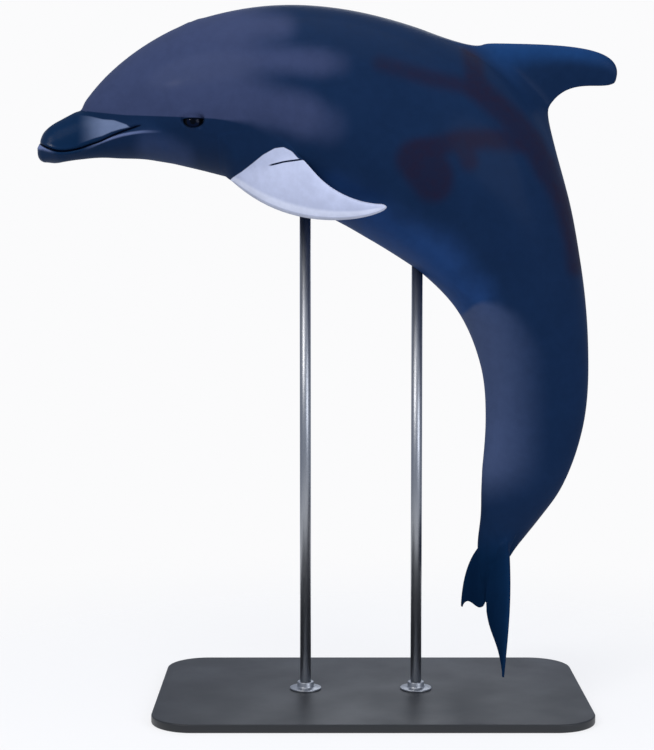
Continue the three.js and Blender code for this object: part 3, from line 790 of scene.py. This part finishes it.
def finished_object(name, form, materials=()):
    """Makes a smooth object of a bmesh, its normals pointing outwards."""
    bmesh.ops.recalc_face_normals(form, faces=form.faces)
    data = bpy.data.meshes.new(name)
    form.to_mesh(data)
    form.free()
    for material in materials:
        data.materials.append(material)
    data.polygons.foreach_set("use_smooth", [True] * len(data.polygons))
    made = bpy.data.objects.new(name, data)
    bpy.context.scene.collection.objects.link(made)
    return made


def apply_modifier(made, modifier):
    """Turns an object with its one modifier into plain mesh."""
    evaluated = made.evaluated_get(bpy.context.evaluated_depsgraph_get())
    plain = bpy.data.meshes.new_from_object(evaluated)
    made.modifiers.remove(modifier)
    made.data = plain


mesh = bpy.data.meshes.new("net")
mesh.from_pydata([tuple(p) for p in net.points], [], [tuple(int(i) for i in f) for f in net.faces])
for name, values in zip(MARKS, np.array(net.marks, np.float32).T):
    mesh.attributes.new(name, "FLOAT", "POINT").data.foreach_set("value", values.copy())
form = bmesh.new()
form.from_mesh(mesh)
skin = finished_object("skin", form)
rounding = skin.modifiers.new("rounding", "SUBSURF")
rounding.levels = rounding.render_levels = 1
apply_modifier(skin, rounding)

# ---------------------------------------------------------------------------------------------
# Skin, its markings and painted highlights. The back is a deep navy, the top of the head and the
# shoulders a greyer, paler blue that ends in soft fingers, partly a marking and partly a painted
# highlight, the belly a clearer blue, and the tail has a pale flank that is a painted highlight.
# Each is a soft-edged shape in side view or along the body, the same on both sides.

point_count = len(skin.data.vertices)
place_of = np.empty(point_count * 3, np.float32)
skin.data.vertices.foreach_get("co", place_of)
place_of = place_of.reshape(-1, 3).astype(float)
x_side, _, z_side = place_of.T


# The marks that the skin's material reads. Each one that is set here joins them.
SKIN_MARKS = ["station", "girth", "chord", "share", "lid"]


def mark_of(name):
    values = np.empty(point_count, np.float32)
    skin.data.attributes[name].data.foreach_get("value", values)
    return values.astype(float)


def set_mark(name, values):
    layer = skin.data.attributes.new(name, "FLOAT", "POINT")
    layer.data.foreach_set("value", values.astype(np.float32))
    SKIN_MARKS.append(name)


def beside(line):
    """Distance in side view from a line of x and z, positive on the left of the way it runs."""
    return beside_line(x_side, z_side, np.array(line))


def patch(line, radius, edge):
    """1 within the radius of a line in side view, falling to 0 over the soft edge."""
    return 1 - smoothstep(radius, radius + edge, np.abs(beside(line)))


def any_of(*shapes):
    return 1 - np.prod([1 - shape for shape in shapes], axis=0)


station, kind, root = (mark_of(name) for name in ("station", "kind", "root"))
on_body = 1 - smoothstep(0.35, 0.65, root)

# Distances beside the line of the mouth and the lower lip's ridge, along the skin of the head.
along_body = station.clip(0, BODY_LENGTH)
_, skin_up, _ = axis_directions(along_body)
skin_height = ((place_of - axis_point(along_body)) * skin_up).sum(1)
set_mark("over_mouth", beside_line(station, skin_height, MOUTH_LINE))
set_mark("over_ridge", beside_line(station, skin_height, LIP_RIDGE))

# The eye stripe is dark under this line, from the beak's crease over the eye to the flipper.
STRIPE_EDGE = [
    (-0.8144, 1.7085), (-0.7919, 1.705), (-0.7515, 1.70), (-0.6988, 1.6938), (-0.6206, 1.6896),
    (-0.5439, 1.6858), (-0.4684, 1.6813), (-0.4433, 1.6798), (-0.343, 1.667), (-0.25, 1.63),
    (-0.157, 1.578),
]
set_mark("over_stripe", beside(STRIPE_EDGE))

# A painted highlight on the beak's side, narrowing to the corner of the mouth.
CHEEK_TOP = [
    (-0.84, 1.70), (-0.8056, 1.6953), (-0.7649, 1.6853), (-0.7306, 1.682), (-0.7121, 1.6753),
    (-0.6937, 1.6687), (-0.6806, 1.6584), (-0.66, 1.64),
]
CHEEK_FOOT = [
    (-0.65, 1.664), (-0.6806, 1.6584), (-0.712, 1.6527), (-0.7385, 1.6458), (-0.7652, 1.635),
    (-0.7919, 1.628), (-0.83, 1.615),
]
set_mark("in_cheek", -np.maximum(beside(CHEEK_TOP), beside(CHEEK_FOOT)))

# The shoulder's pale blue, partly a marking and partly a painted highlight over the top of the
# head, ends in soft fingers that reach back over the flank.
shoulder_and_highlight = any_of(
    1 - smoothstep(-0.40, -0.23, x_side),
    0.9 * patch([(-0.36, 1.94), (-0.26, 1.937)], 0.0, 0.07),
    0.9 * patch([(-0.36, 1.845), (-0.22, 1.838), (-0.15, 1.832)], 0.0, 0.065),
    0.5 * patch([(-0.25, 1.84), (-0.10, 1.83)], 0.0, 0.055),
    0.9 * patch([(-0.36, 1.72), (-0.26, 1.705), (-0.20, 1.685)], 0.015, 0.08),
    0.5 * patch([(-0.22, 1.70), (-0.13, 1.66)], 0.01, 0.07),
)
set_mark("shoulder_and_highlight", shoulder_and_highlight * on_body)
belly_blue = patch([(-0.12, 1.42), (0.06, 1.326), (0.157, 1.277), (0.25, 1.17)], 0.02, 0.12)
set_mark("belly_blue", belly_blue * on_body)

# Dark wine shades branch out under the dorsal fin and run back along the flank.
wine = any_of(
    0.8 * patch([(0.02, 1.83), (0.16, 1.79), (0.29, 1.765)], 0.004, 0.035),
    patch([(0.28, 1.87), (0.29, 1.77)], 0.010, 0.035),
    patch([(0.29, 1.767), (0.394, 1.677), (0.444, 1.62), (0.49, 1.545)], 0.016, 0.035),
    patch([(0.49, 1.545), (0.535, 1.468), (0.577, 1.34), (0.585, 1.27)], 0.010, 0.04),
    patch([(0.45, 1.615), (0.32, 1.622), (0.243, 1.62), (0.13, 1.59)], 0.010, 0.035),
    patch([(0.115, 1.565), (0.165, 1.50)], 0.032, 0.04),
    patch([(0.15, 1.575), (0.175, 1.53)], 0.02, 0.04),
    0.8 * patch([(0.25, 1.60), (0.265, 1.56)], 0.010, 0.03),
)
set_mark("wine", wine * on_body)

# A painted highlight on the tail's flank: brightest along the hollow side, with a curved upper end.
FLANK_EDGE = [
    (0.24, 1.15), (0.288, 1.08), (0.312, 1.0), (0.323, 0.87), (0.323, 0.74), (0.318, 0.56),
]
FLANK_TOP = [
    (0.22, 1.09), (0.262, 1.133), (0.285, 1.158), (0.309, 1.172), (0.357, 1.176), (0.421, 1.148),
    (0.46, 1.112), (0.52, 1.04),
]
flank_highlight = patch(FLANK_EDGE, 0.01, 0.19)
flank_highlight = flank_highlight * smoothstep(0.55, 0.70, z_side - 0.25 * (x_side - 0.33))
set_mark("flank_highlight", flank_highlight * (station > 1.4) * on_body)
set_mark("under_flank_top", -beside(FLANK_TOP))

# A painted highlight on the throat, and the dark end of the tail with its flukes.
throat = patch([(-0.63, 1.605), (-0.58, 1.595), (-0.545, 1.575)], 0.008, 0.055)
set_mark("throat", throat * on_body)
set_mark("far_end", (1 - smoothstep(0.40, 0.53, z_side)) * (station > 2.2))

# Flippers are pale up to the outline of a fold of skin over the shoulder, with one crease drawn as
# a line of painted shade.
FLAP_EDGE = [
    (-0.42, 1.50), (-0.3987, 1.5174), (-0.3684, 1.5352), (-0.3389, 1.5566), (-0.3078, 1.5804),
    (-0.2749, 1.5982), (-0.25, 1.6015), (-0.2253, 1.5892), (-0.2081, 1.5697), (-0.1883, 1.5623),
    (0.0, 1.51), (0.3, 1.44),
]
FLAP_CREASE = [(-0.292, 1.550), (-0.27, 1.555), (-0.249, 1.560), (-0.20, 1.566)]
set_mark("flipper", smoothstep(1.6, 1.9, kind) * (1 - smoothstep(2.1, 2.4, kind)))
set_mark("under_flap", -beside(FLAP_EDGE))
set_mark("over_crease", beside(FLAP_CREASE))
set_mark("dorsal", smoothstep(0.4, 0.9, kind) * (1 - smoothstep(1.1, 1.6, kind)) * root)

# Skin, its material. Wet dolphin skin: smooth as peeled rubber, with a clear wet coat over faint
# mottling and very fine ridges round the body.


def linear(hex_colour, alpha=1.0):
    """An sRGB hex colour as linear values."""
    parts = [int(hex_colour[i:i + 2], 16) / 255 for i in (1, 3, 5)]
    return (*[c / 12.92 if c <= 0.04045 else ((c + 0.055) / 1.055) ** 2.4 for c in parts], alpha)


def add_node(tree, kind, inputs=(), **settings):
    """Adds a node, sets it, and fills its inputs with values or links from others."""
    made = tree.nodes.new(kind)
    for key, value in settings.items():
        setattr(made, key, value)
    for key, value in dict(inputs).items():
        if isinstance(value, bpy.types.Node):
            value = value.outputs[0]
        if isinstance(value, bpy.types.NodeSocket):
            tree.links.new(value, made.inputs[key])
        else:
            made.inputs[key].default_value = value
    return made


def new_material(name):
    material = bpy.data.materials.new(name)
    material.use_nodes = True
    material.node_tree.nodes.clear()
    return material, material.node_tree


def finish_material(tree, **inputs):
    """Ends a material with a principled surface of the given inputs."""
    inputs = {name.replace("_", " "): value for name, value in inputs.items()}
    surface = add_node(tree, "ShaderNodeBsdfPrincipled", inputs)
    add_node(tree, "ShaderNodeOutputMaterial", {"Surface": surface})


# Colours of the skin. The shoulder's is partly a marking and partly a painted highlight, those of
# the tail's flank, the throat, the cheek and the lip are painted highlights, those of the mouth's
# groove and the flipper's crease are painted shade, and the lid's is also painted shade inside the
# blowhole.
SKIN_COLOURS = {
    "back": "#142846", "beak": "#0e2745", "shoulder_and_highlight": "#394363", "belly_blue": "#214071",
    "wine": "#1f1c30", "flank_highlight": "#414f70", "throat": "#2c3c5e", "cheek_highlight": "#6b7a99",
    "lip": "#65739a", "groove_shade": "#071023", "flipper": "#c6cde6", "flipper_band": "#e4e9fb",
    "flipper_edge": "#c6cad9", "crease": "#0c1830", "dorsal_top": "#1a3b68", "fluke": "#0d2746",
    "lid": "#030a18",
}

# Half widths in metres of the narrow lines, and how far out their soft edges end.
LINE_WIDTHS = {
    "lip": (0.001, 0.006), "groove_shade": (0.0012, 0.0035), "slit": (0.001, 0.0025),
    "crease": (0.0018, 0.0032),
}

# Where marks begin, are full, start to fade and end: in metres from the snout, and for the last
# two along x and along a flipper's chord.
RUNS = {
    "lip": (0.12, 0.22, 0.28, 0.385), "navel": (1.232, 1.236, 1.252, 1.256),
    "slit": (1.56, 1.57, 1.70, 1.71), "crease": (-0.296, -0.280, -0.20, -0.19),
    "flipper_band": (0.06, 0.09, 0.16, 0.24),
}

# Sizes of the skin's patterns: clouds a hand wide, blotches, ridges and grain. The ridges and the
# grain of the animal are finer than this, and are drawn coarser so that they show.
SKIN_PATTERN = millimetres(clouds=111.1, blotches=23.8, ridges=2.964, grain=1.111)
WAVE_SPACING = 2 * math.pi / 20  # of a Wave texture at scale 1


def skin_material():
    material, tree = new_material("wet_dolphin_skin")
    here = add_node(tree, "ShaderNodeTexCoord").outputs["Object"]
    side = add_node(tree, "ShaderNodeSeparateXYZ", {0: here}).outputs
    mark = {
        name: add_node(tree, "ShaderNodeAttribute", attribute_name=name).outputs["Fac"]
        for name in SKIN_MARKS
    }
    station, chord, share = mark["station"], mark["chord"], mark["share"]

    def extent(*limits):
        """Share from 0 to 1 to which all the limits are met: the product of what each gives.

        A limit is such a share, or a value with the two values between which it rises softly
        from 0 to 1, or from and to two others that follow them."""
        product = None
        for limit in limits:
            if isinstance(limit, tuple):
                limit = add_node(
                    tree, "ShaderNodeMapRange", dict(enumerate(limit)),
                    interpolation_type="SMOOTHSTEP")
            product = limit if product is None else add_node(
                tree, "ShaderNodeMath", {0: product, 1: limit}, operation="MULTIPLY")
        return product

    def painted(colour, over, *limits):
        """A colour with another one, named or mixed before, laid over it where limits are met."""
        over = linear(SKIN_COLOURS[over]) if isinstance(over, str) else over
        inputs = {0: extent(*limits), 6: colour, 7: over}
        return add_node(
            tree, "ShaderNodeMix", inputs, data_type="RGBA", clamp_factor=True).outputs[2]

    def between(value, begin, full, fading, end):
        """Limits of a run with soft ends."""
        return (value, begin, full), (value, end, fading)

    def along_line(beside, name):
        """Limits of a line with soft edges, by the distance beside it."""
        half, edge = LINE_WIDTHS[name]
        return between(beside, -edge, -half, half, edge)

    # Clouds a hand wide and blotches of a few centimetres break up every marking a little.
    clouds = add_node(tree, "ShaderNodeTexNoise", {
        "Vector": here, "Scale": 1 / SKIN_PATTERN["clouds"], "Detail": 3})
    blotches = add_node(tree, "ShaderNodeTexNoise", {
        "Vector": here, "Scale": 1 / SKIN_PATTERN["blotches"], "Detail": 4, "Roughness": 0.6})
    uneven = add_node(tree, "ShaderNodeMix", {0: 0.5, 2: clouds, 3: blotches})

    colour = painted(linear(SKIN_COLOURS["beak"]), "back", (station, 0.14, 0.24))
    colour = painted(colour, "belly_blue", mark["belly_blue"], (clouds, 0.3, 0.7, 0.75, 1.15))
    colour = painted(colour, "wine", mark["wine"], (uneven, 0.38, 0.6, 0.65, 0.95))

    # The shoulder's pale blue, partly a marking and partly a painted highlight, ends at the stripe,
    # crisply before the eye and softly behind it.
    softness = extent((side[0], -0.45, -0.20, 0.003, 0.07))
    over_stripe = add_node(
        tree, "ShaderNodeMath", {0: mark["over_stripe"], 1: softness}, operation="DIVIDE")
    colour = painted(colour, "shoulder_and_highlight", mark["shoulder_and_highlight"], (over_stripe, -0.5, 0.5))
    # A painted highlight on the tail's flank, its upper edge crisp in front and softer behind.
    softness = extent((side[0], 0.28, 0.42, 0.012, 0.05))
    flank_top = (mark["under_flank_top"], -0.004, softness)
    colour = painted(colour, "flank_highlight", mark["flank_highlight"], flank_top)
    # A soft painted highlight on the throat.
    colour = painted(colour, "throat", mark["throat"])
    # A painted highlight on the beak's side, fading out towards the tip.
    colour = painted(colour, "cheek_highlight", (mark["in_cheek"], 0, 0.004), (side[0], -0.845, -0.75))

    # A painted highlight along the lower lip's ridge, and another on the lip's front, where the
    # lip stands out.
    band = extent(*along_line(mark["over_ridge"], "lip"), *between(station, *RUNS["lip"]))
    spot = extent(
        (mark["over_ridge"], -0.006, 0.004), (mark["over_mouth"], -0.001, -0.004),
        (station, 0.06, 0.02))
    lip = add_node(tree, "ShaderNodeMath", {0: band, 1: spot}, operation="MAXIMUM")
    colour = painted(colour, "lip", lip)
    # Painted shade: a near-black line along the groove between the lips, ending at the mouth's
    # corner.
    groove_shade = along_line(mark["over_mouth"], "groove_shade")
    colour = painted(colour, "groove_shade", *groove_shade, (station, 0.33, 0.315))
    # Near-black on the lids' inner edge round the eye, and painted shade down inside the blowhole,
    # whose throat carries the same mark.
    colour = painted(colour, "lid", (mark["lid"], 0.93, 1.0))

    # Along the middle of the belly: the navel's short dimple and the long slit before the tail,
    # sunk in the bump and darkened with painted shade.
    navel, slit = (extent(*between(station, *RUNS[name])) for name in ("navel", "slit"))
    slit = add_node(tree, "ShaderNodeMath", {0: navel, 1: slit}, operation="MAXIMUM")
    slit = extent(slit, *along_line(side[1], "slit"), (mark["girth"], 0.85, 0.95))
    colour = painted(colour, "groove_shade", slit)

    # Fins: the dorsal fin's front is a clearer blue, the flukes nearly black.
    colour = painted(
        colour, "dorsal_top", mark["dorsal"], (chord, 0.55, 0.15), (share, 0.95, 0.6))
    colour = painted(colour, "fluke", mark["far_end"])

    # Flippers: pale, with a lighter band behind a greyer front edge, and the fold's crease as a
    # line of painted shade.
    band = between(chord, *RUNS["flipper_band"])
    paddle = painted(
        linear(SKIN_COLOURS["flipper"]), "flipper_band", *band, (share, 0.95, 0.75))
    paddle = painted(paddle, "flipper_edge", (chord, 0.08, 0.05))
    crease = along_line(mark["over_crease"], "crease")
    paddle = painted(paddle, "crease", *crease, *between(side[0], *RUNS["crease"]))
    colour = painted(colour, paddle, mark["flipper"], (mark["under_flap"], 0, 0.0025))
    shade = extent((uneven, 0.35, 0.65, 0.94, 1.06))
    colour = add_node(tree, "ShaderNodeVectorMath", {0: colour, "Scale": shade}, operation="SCALE")

    # Ridges run round the body, a fine grain lies on them, and the slits are sunk in the belly.
    ridges = add_node(tree, "ShaderNodeTexWave", {
        "Vector": add_node(tree, "ShaderNodeCombineXYZ", {0: station}),
        "Scale": WAVE_SPACING / SKIN_PATTERN["ridges"], "Distortion": 1.5, "Detail": 2})
    grain = add_node(tree, "ShaderNodeTexNoise", {
        "Vector": here, "Scale": 1 / SKIN_PATTERN["grain"], "Detail": 2})
    relief = 0.0
    for height, weight in ((slit, -6.0), (grain, 0.6), (ridges.outputs["Fac"], 0.15)):
        inputs = {0: height, 1: weight, 2: relief}
        relief = add_node(tree, "ShaderNodeMath", inputs, operation="MULTIPLY_ADD")
    bump = add_node(
        tree, "ShaderNodeBump", {"Height": relief, "Strength": 0.12, "Distance": 0.0004})

    # Wet skin under a thin film of water, wettest on the beak. The flukes are left duller. Their
    # share is multiplied by the level's number, because the export keeps only such a number.
    wet = extent((station, 0.03, 0.07, 0.7, 0.05))
    wet = add_node(
        tree, "ShaderNodeMath", {0: mark["far_end"], 1: -0.05, 2: wet}, operation="MULTIPLY_ADD")
    finish_material(
        tree, Base_Color=colour, Roughness=extent((uneven, 0.3, 0.7, 0.42, 0.52)), IOR=1.40,
        Specular_IOR_Level=extent((mark["far_end"], 1, 0), 0.08),
        Specular_Tint=linear("#7fa6e6"), Coat_Weight=wet, Coat_Roughness=0.18, Coat_IOR=1.33,
        Normal=bump)
    return material


skin.data.materials.append(skin_material())
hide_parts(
    "head", "upper_jaw", "lower_jaw", "chest", "belly", "loin", "tail_front", "tail_rear",
    "dorsal_fin", "flipper_left", "flipper_right", "fluke_left", "fluke_right",
)
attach(skin, "root")

# ---------------------------------------------------------------------------------------------
# Eyes. Glossy balls of dark glass, as a model maker sets them: a nearly black blue iris round a
# wide round pupil, under a clear wet cornea. They sit in the sockets behind the lids.

# Edges of the iris and the pupil, as angles from the way the eye looks, in radians.
IRIS = {"colour": "#030c22", "from": 0.55, "to": 0.62}
PUPIL = {"colour": "#01040c", "from": 0.25, "to": 0.29}

eye_glass, tree = new_material("wet_eye_glass")
gaze = add_node(tree, "ShaderNodeAttribute", attribute_name="gaze").outputs["Fac"]
eye_colour = linear("#05070d")
for disc in (IRIS, PUPIL):
    inside = add_node(
        tree, "ShaderNodeMapRange", {0: gaze, 1: disc["from"], 2: disc["to"], 3: 1.0, 4: 0.0})
    inputs = {0: inside, 6: eye_colour, 7: linear(disc["colour"])}
    eye_colour = add_node(tree, "ShaderNodeMix", inputs, data_type="RGBA").outputs[2]
finish_material(
    tree, Base_Color=eye_colour, Roughness=0.25, IOR=1.4, Specular_IOR_Level=0.06,
    Coat_Weight=0.12, Coat_Roughness=0.05, Coat_IOR=1.33)

for side_name, mirror in (("left", 1), ("right", -1)):
    centre, _, _, outward = eye_frame(mirror)
    form = bmesh.new()
    bmesh.ops.create_uvsphere(form, u_segments=64, v_segments=40, radius=EYE["radius"])
    bmesh.ops.translate(form, verts=form.verts, vec=Vector(centre))
    eye = finished_object(f"eye_ball_{side_name}", form, [eye_glass])
    spokes = unit(np.array([v.co for v in eye.data.vertices]) - centre)
    values = np.arccos(np.clip(spokes @ outward, -1, 1)).astype(np.float32)
    eye.data.attributes.new("gaze", "FLOAT", "POINT").data.foreach_set("value", values)
    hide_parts(f"eye_{side_name}")
    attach(eye, "root")

# ---------------------------------------------------------------------------------------------
# Stand. A flat board of laminated wood with a dark grey satin lacquer, round at its corners, and
# two brushed steel rods that stand in turned collars and run up into the belly.

BASE = millimetres(length=1240, width=760, thickness=24, corner=120, bevel=4)
ROD = millimetres(radius=16, front=-192, rear=132, end_gap=0.1)
COLLAR = millimetres(radius=46, flange=5, slope=4, neck=24, height=22, round=1.5, foot=0.3)
SCREW = millimetres(ring=37, radius=3.6, proud=0.7)
SCREW_COUNT = 3
STAND_GAP = 0.3 * MM  # between the board and what stands on it
LACQUER_PATTERN = millimetres(flow=3.85, wear=200)
STEEL_PATTERN = millimetres(hair=0.714)

# Sprayed lacquer: a faint orange peel and a slightly uneven satin.
board, tree = new_material("satin_lacquered_board")
here = add_node(tree, "ShaderNodeTexCoord").outputs["Object"]
flow = add_node(tree, "ShaderNodeTexNoise", {
    "Vector": here, "Scale": 1 / LACQUER_PATTERN["flow"], "Detail": 2})
wear = add_node(tree, "ShaderNodeTexNoise", {
    "Vector": here, "Scale": 1 / LACQUER_PATTERN["wear"], "Detail": 5})
satin = add_node(tree, "ShaderNodeMapRange", {0: wear, 1: 0.35, 2: 0.65, 3: 0.42, 4: 0.52})
relief = add_node(tree, "ShaderNodeBump", {"Height": flow, "Strength": 0.05, "Distance": 0.0003})
finish_material(
    tree, Base_Color=linear("#26282b"), Roughness=satin, IOR=1.5, Specular_IOR_Level=0.3,
    Coat_Weight=0.06, Coat_Roughness=0.25, Normal=relief)

# Stainless steel, brushed upwards: hair lines that spread its reflections sideways. They are drawn
# several times as coarse as real ones, so that they show.
steel, tree = new_material("brushed_steel")
here = add_node(tree, "ShaderNodeTexCoord").outputs["Object"]
long_way = add_node(tree, "ShaderNodeMapping", {"Vector": here, "Scale": (1, 1, 0.02)})
hair = add_node(tree, "ShaderNodeTexNoise", {
    "Vector": long_way, "Scale": 1 / STEEL_PATTERN["hair"], "Detail": 3})
brushed = add_node(tree, "ShaderNodeMapRange", {0: hair, 1: 0.3, 2: 0.7, 3: 0.34, 4: 0.46})
relief = add_node(tree, "ShaderNodeBump", {"Height": hair, "Strength": 0.08, "Distance": 0.0002})
finish_material(tree, Base_Color=linear("#a4a7ac"), Metallic=1.0, Roughness=brushed, Normal=relief)


def rounded_outline(length, width, corner, steps):
    """Outline of a rectangle with round corners, anticlockwise."""
    points = []
    for quarter in range(4):
        x = (length / 2 - corner) * (1 if quarter in (0, 3) else -1)
        y = (width / 2 - corner) * (1 if quarter < 2 else -1)
        for k in range(steps + 1):
            angle = math.pi / 2 * (quarter + k / steps)
            points.append((x + corner * math.cos(angle), y + corner * math.sin(angle)))
    return points


def stacked_loops(form, loops):
    """Joins loops of points with quads and closes both ends."""
    rings = [[form.verts.new(p) for p in loop] for loop in loops]
    for a, b in zip(rings[:-1], rings[1:]):
        for i in range(len(a)):
            k = (i + 1) % len(a)
            form.faces.new((a[i], a[k], b[k], b[i]))
    form.faces.new(rings[0][::-1])
    form.faces.new(rings[-1])


def rounded_profile(low, high, radius, steps=5):
    """Insets and heights of a slab's side whose edges are rounded."""
    bends = [math.pi / 2 * k / steps for k in range(steps + 1)]
    lower = [(radius * (1 - math.sin(b)), low + radius * (1 - math.cos(b))) for b in bends]
    return lower + [(inset, high - (z - low)) for inset, z in reversed(lower)]


form = bmesh.new()
loops = []
for inset, z in rounded_profile(0, BASE["thickness"], BASE["bevel"]):
    outline = rounded_outline(
        BASE["length"] - 2 * inset, BASE["width"] - 2 * inset, BASE["corner"] - inset, steps=24)
    loops.append([(x, y, z) for x, y in outline])
stacked_loops(form, loops)
base = finished_object("base_board", form, [board])
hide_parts("stand_base")
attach(base, "root")


def turned(form, profile, x, segments=96):
    """Turns a profile of radii and heights about an upright line at x."""
    angles = [2 * math.pi * k / segments for k in range(segments)]
    stacked_loops(form, [
        [(x + radius * math.cos(a), radius * math.sin(a), z) for a in angles]
        for radius, z in profile
    ])


def collar_profile(foot):
    """Radii and heights of a turned collar: a flange, a hollow slope and a neck."""
    wide, neck, slope = COLLAR["radius"], COLLAR["neck"], COLLAR["slope"]
    flange_top, top = foot + COLLAR["flange"], foot + COLLAR["height"]

    def rounded(radius, height):
        r = COLLAR["round"]
        return [
            (radius, height - r), (radius - r * 0.3, height - r * 0.3), (radius - r, height)]

    return [
        (wide - COLLAR["foot"], foot), (wide, foot + 0.5 * MM), *rounded(wide, flange_top),
        (neck + slope, flange_top + 0.4 * MM), (neck + 1 * MM, flange_top + 1.4 * MM),
        (neck, flange_top + slope), *rounded(neck, top), (ROD["radius"] + 0.5 * MM, top)]


def screw_ring():
    """Geometry nodes that add the heads of screws in a ring to a collar."""
    tree = bpy.data.node_groups.new("screw_ring", "GeometryNodeTree")
    tree.interface.new_socket("Geometry", in_out="OUTPUT", socket_type="NodeSocketGeometry")
    for name, kind in (
            ("Geometry", "Geometry"), ("Count", "Int"), ("Ring radius", "Float"),
            ("Head radius", "Float"), ("Head height", "Float"), ("Middle", "Vector"),
            ("Steel", "Material")):
        tree.interface.new_socket(name, in_out="INPUT", socket_type=f"NodeSocket{kind}")
    given = add_node(tree, "NodeGroupInput").outputs
    ring = add_node(tree, "GeometryNodeCurvePrimitiveCircle", {
        "Resolution": given["Count"], "Radius": given["Ring radius"]})
    spots = add_node(tree, "GeometryNodeSetPosition", {
        "Geometry": ring, "Offset": given["Middle"]})
    head = add_node(tree, "GeometryNodeMeshCylinder", {
        "Vertices": 32, "Radius": given["Head radius"], "Depth": given["Head height"]})
    placed = add_node(tree, "GeometryNodeInstanceOnPoints", {"Points": spots, "Instance": head})
    real = add_node(tree, "GeometryNodeRealizeInstances", {"Geometry": placed})
    steel_heads = add_node(tree, "GeometryNodeSetMaterial", {
        "Geometry": real, "Material": given["Steel"]})
    both = add_node(tree, "GeometryNodeJoinGeometry")
    tree.links.new(given["Geometry"], both.inputs[0])
    tree.links.new(steel_heads.outputs[0], both.inputs[0])
    add_node(tree, "NodeGroupOutput", {"Geometry": both})
    return tree


rings_of_screws = screw_ring()
for place_name in ("front", "rear"):
    x = ROD[place_name]
    foot = BASE["thickness"] + STAND_GAP
    top = max(corner[2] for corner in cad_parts[f"stand_rod_{place_name}"].bound_box)
    form = bmesh.new()
    turned(form, [(ROD["radius"], foot), (ROD["radius"], top - ROD["end_gap"])], x)
    rod = finished_object(f"rod_{place_name}", form, [steel])
    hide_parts(f"stand_rod_{place_name}")
    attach(rod, "root")
    form = bmesh.new()
    turned(form, collar_profile(foot), x)
    collar = finished_object(f"collar_{place_name}", form, [steel])
    screws = collar.modifiers.new("screws", "NODES")
    screws.node_group = rings_of_screws
    values = {
        "Count": SCREW_COUNT, "Ring radius": SCREW["ring"], "Head radius": SCREW["radius"],
        "Head height": 2 * SCREW["proud"], "Middle": (x, 0, foot + COLLAR["flange"]),
        "Steel": steel}
    for item in rings_of_screws.interface.items_tree:
        if item.in_out == "INPUT" and item.name in values:
            screws[item.identifier] = values[item.name]
    apply_modifier(collar, screws)
    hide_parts(f"stand_collar_{place_name}")
    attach(collar, "root")

# ---------------------------------------------------------------------------------------------
# Stage. A pale studio floor that runs out into a white backdrop all round, so it has no horizon.

FLOOR_RADIUS = 2.6
FLOOR_GAP = 0.5 * MM
FLOOR_FADE = (0.6, 2.4)
BACKDROP = linear("#fbfbfc")

floor_paint, tree = new_material("pale_studio_floor")
here = add_node(tree, "ShaderNodeTexCoord").outputs["Object"]
away = add_node(tree, "ShaderNodeVectorMath", {0: here}, operation="LENGTH").outputs["Value"]
fade = add_node(
    tree, "ShaderNodeMapRange", {0: away, 1: FLOOR_FADE[0], 2: FLOOR_FADE[1]},
    interpolation_type="SMOOTHSTEP")
matt = add_node(tree, "ShaderNodeBsdfDiffuse", {"Color": linear("#f6f7f9")})
glow = add_node(tree, "ShaderNodeEmission", {"Color": BACKDROP, "Strength": 1.05})
lit = add_node(tree, "ShaderNodeMixShader", {0: 0.72, 1: matt, 2: glow})
clear = add_node(tree, "ShaderNodeBsdfTransparent")
mix = add_node(tree, "ShaderNodeMixShader", {0: fade, 1: lit, 2: clear})
add_node(tree, "ShaderNodeOutputMaterial", {"Surface": mix})
form = bmesh.new()
bmesh.ops.create_circle(form, cap_ends=True, segments=128, radius=FLOOR_RADIUS)
bmesh.ops.translate(form, verts=form.verts, vec=(0, 0, -FLOOR_GAP))
floor = finished_object("studio_floor", form, [floor_paint])

world = bpy.data.worlds.new("studio")
world.use_nodes = True
world.node_tree.nodes.clear()
tree = world.node_tree
seen = add_node(tree, "ShaderNodeBackground", {"Color": BACKDROP, "Strength": 1.0})
sky = add_node(tree, "ShaderNodeBackground", {"Color": linear("#cfd9ee"), "Strength": 0.55})
path = add_node(tree, "ShaderNodeLightPath")
both = add_node(tree, "ShaderNodeMixShader", {0: path.outputs["Is Camera Ray"], 1: sky, 2: seen})
add_node(tree, "ShaderNodeOutputWorld", {"Surface": both})
bpy.context.scene.world = world


def soft_light(name, position, target, size, power, colour="#ffffff"):
    """A round soft lamp that faces a target."""
    lamp = bpy.data.lights.new(name, "AREA")
    lamp.shape, lamp.size, lamp.energy = "DISK", size, power
    lamp.color = linear(colour)[:3]
    made = bpy.data.objects.new(name, lamp)
    made.location = position
    made.rotation_euler = (Vector(target) - Vector(position)).to_track_quat("-Z", "Y").to_euler()
    bpy.context.scene.collection.objects.link(made)


soft_light("key", (-3.2, -3.6, 4.6), (0, 0, 1.2), 3.2, 130, "#fffaf4")
soft_light("fill", (3.6, -4.2, 2.4), (0, 0, 1.1), 3.4, 115, "#f4f7ff")
soft_light("back", (0.5, 4.6, 3.4), (0, 0, 1.2), 3.0, 36, "#f4f8ff")
soft_light("floor_wash", (0, -1.0, 5.5), (0, 0, 0), 4.0, 50)
soft_light("catch_light", (-3.0, -3.4, 3.4), (-0.5, 0, 1.65), 0.22, 12)

# ---------------------------------------------------------------------------------------------
# Camera, level with the chest and looking a little down at the stand.

camera = bpy.data.objects.new("camera", bpy.data.cameras.new("camera"))
camera.data.lens, camera.data.sensor_width = 86.2, 36
camera.data.shift_y = -0.048
camera.location = (-0.129, -5.2, 1.40)
aim = Vector((-0.129, 0, 1.054)) - camera.location
camera.rotation_euler = aim.to_track_quat("-Z", "Y").to_euler()
bpy.context.scene.collection.objects.link(camera)
bpy.context.scene.camera = camera
bpy.context.scene.view_settings.view_transform = "Standard"
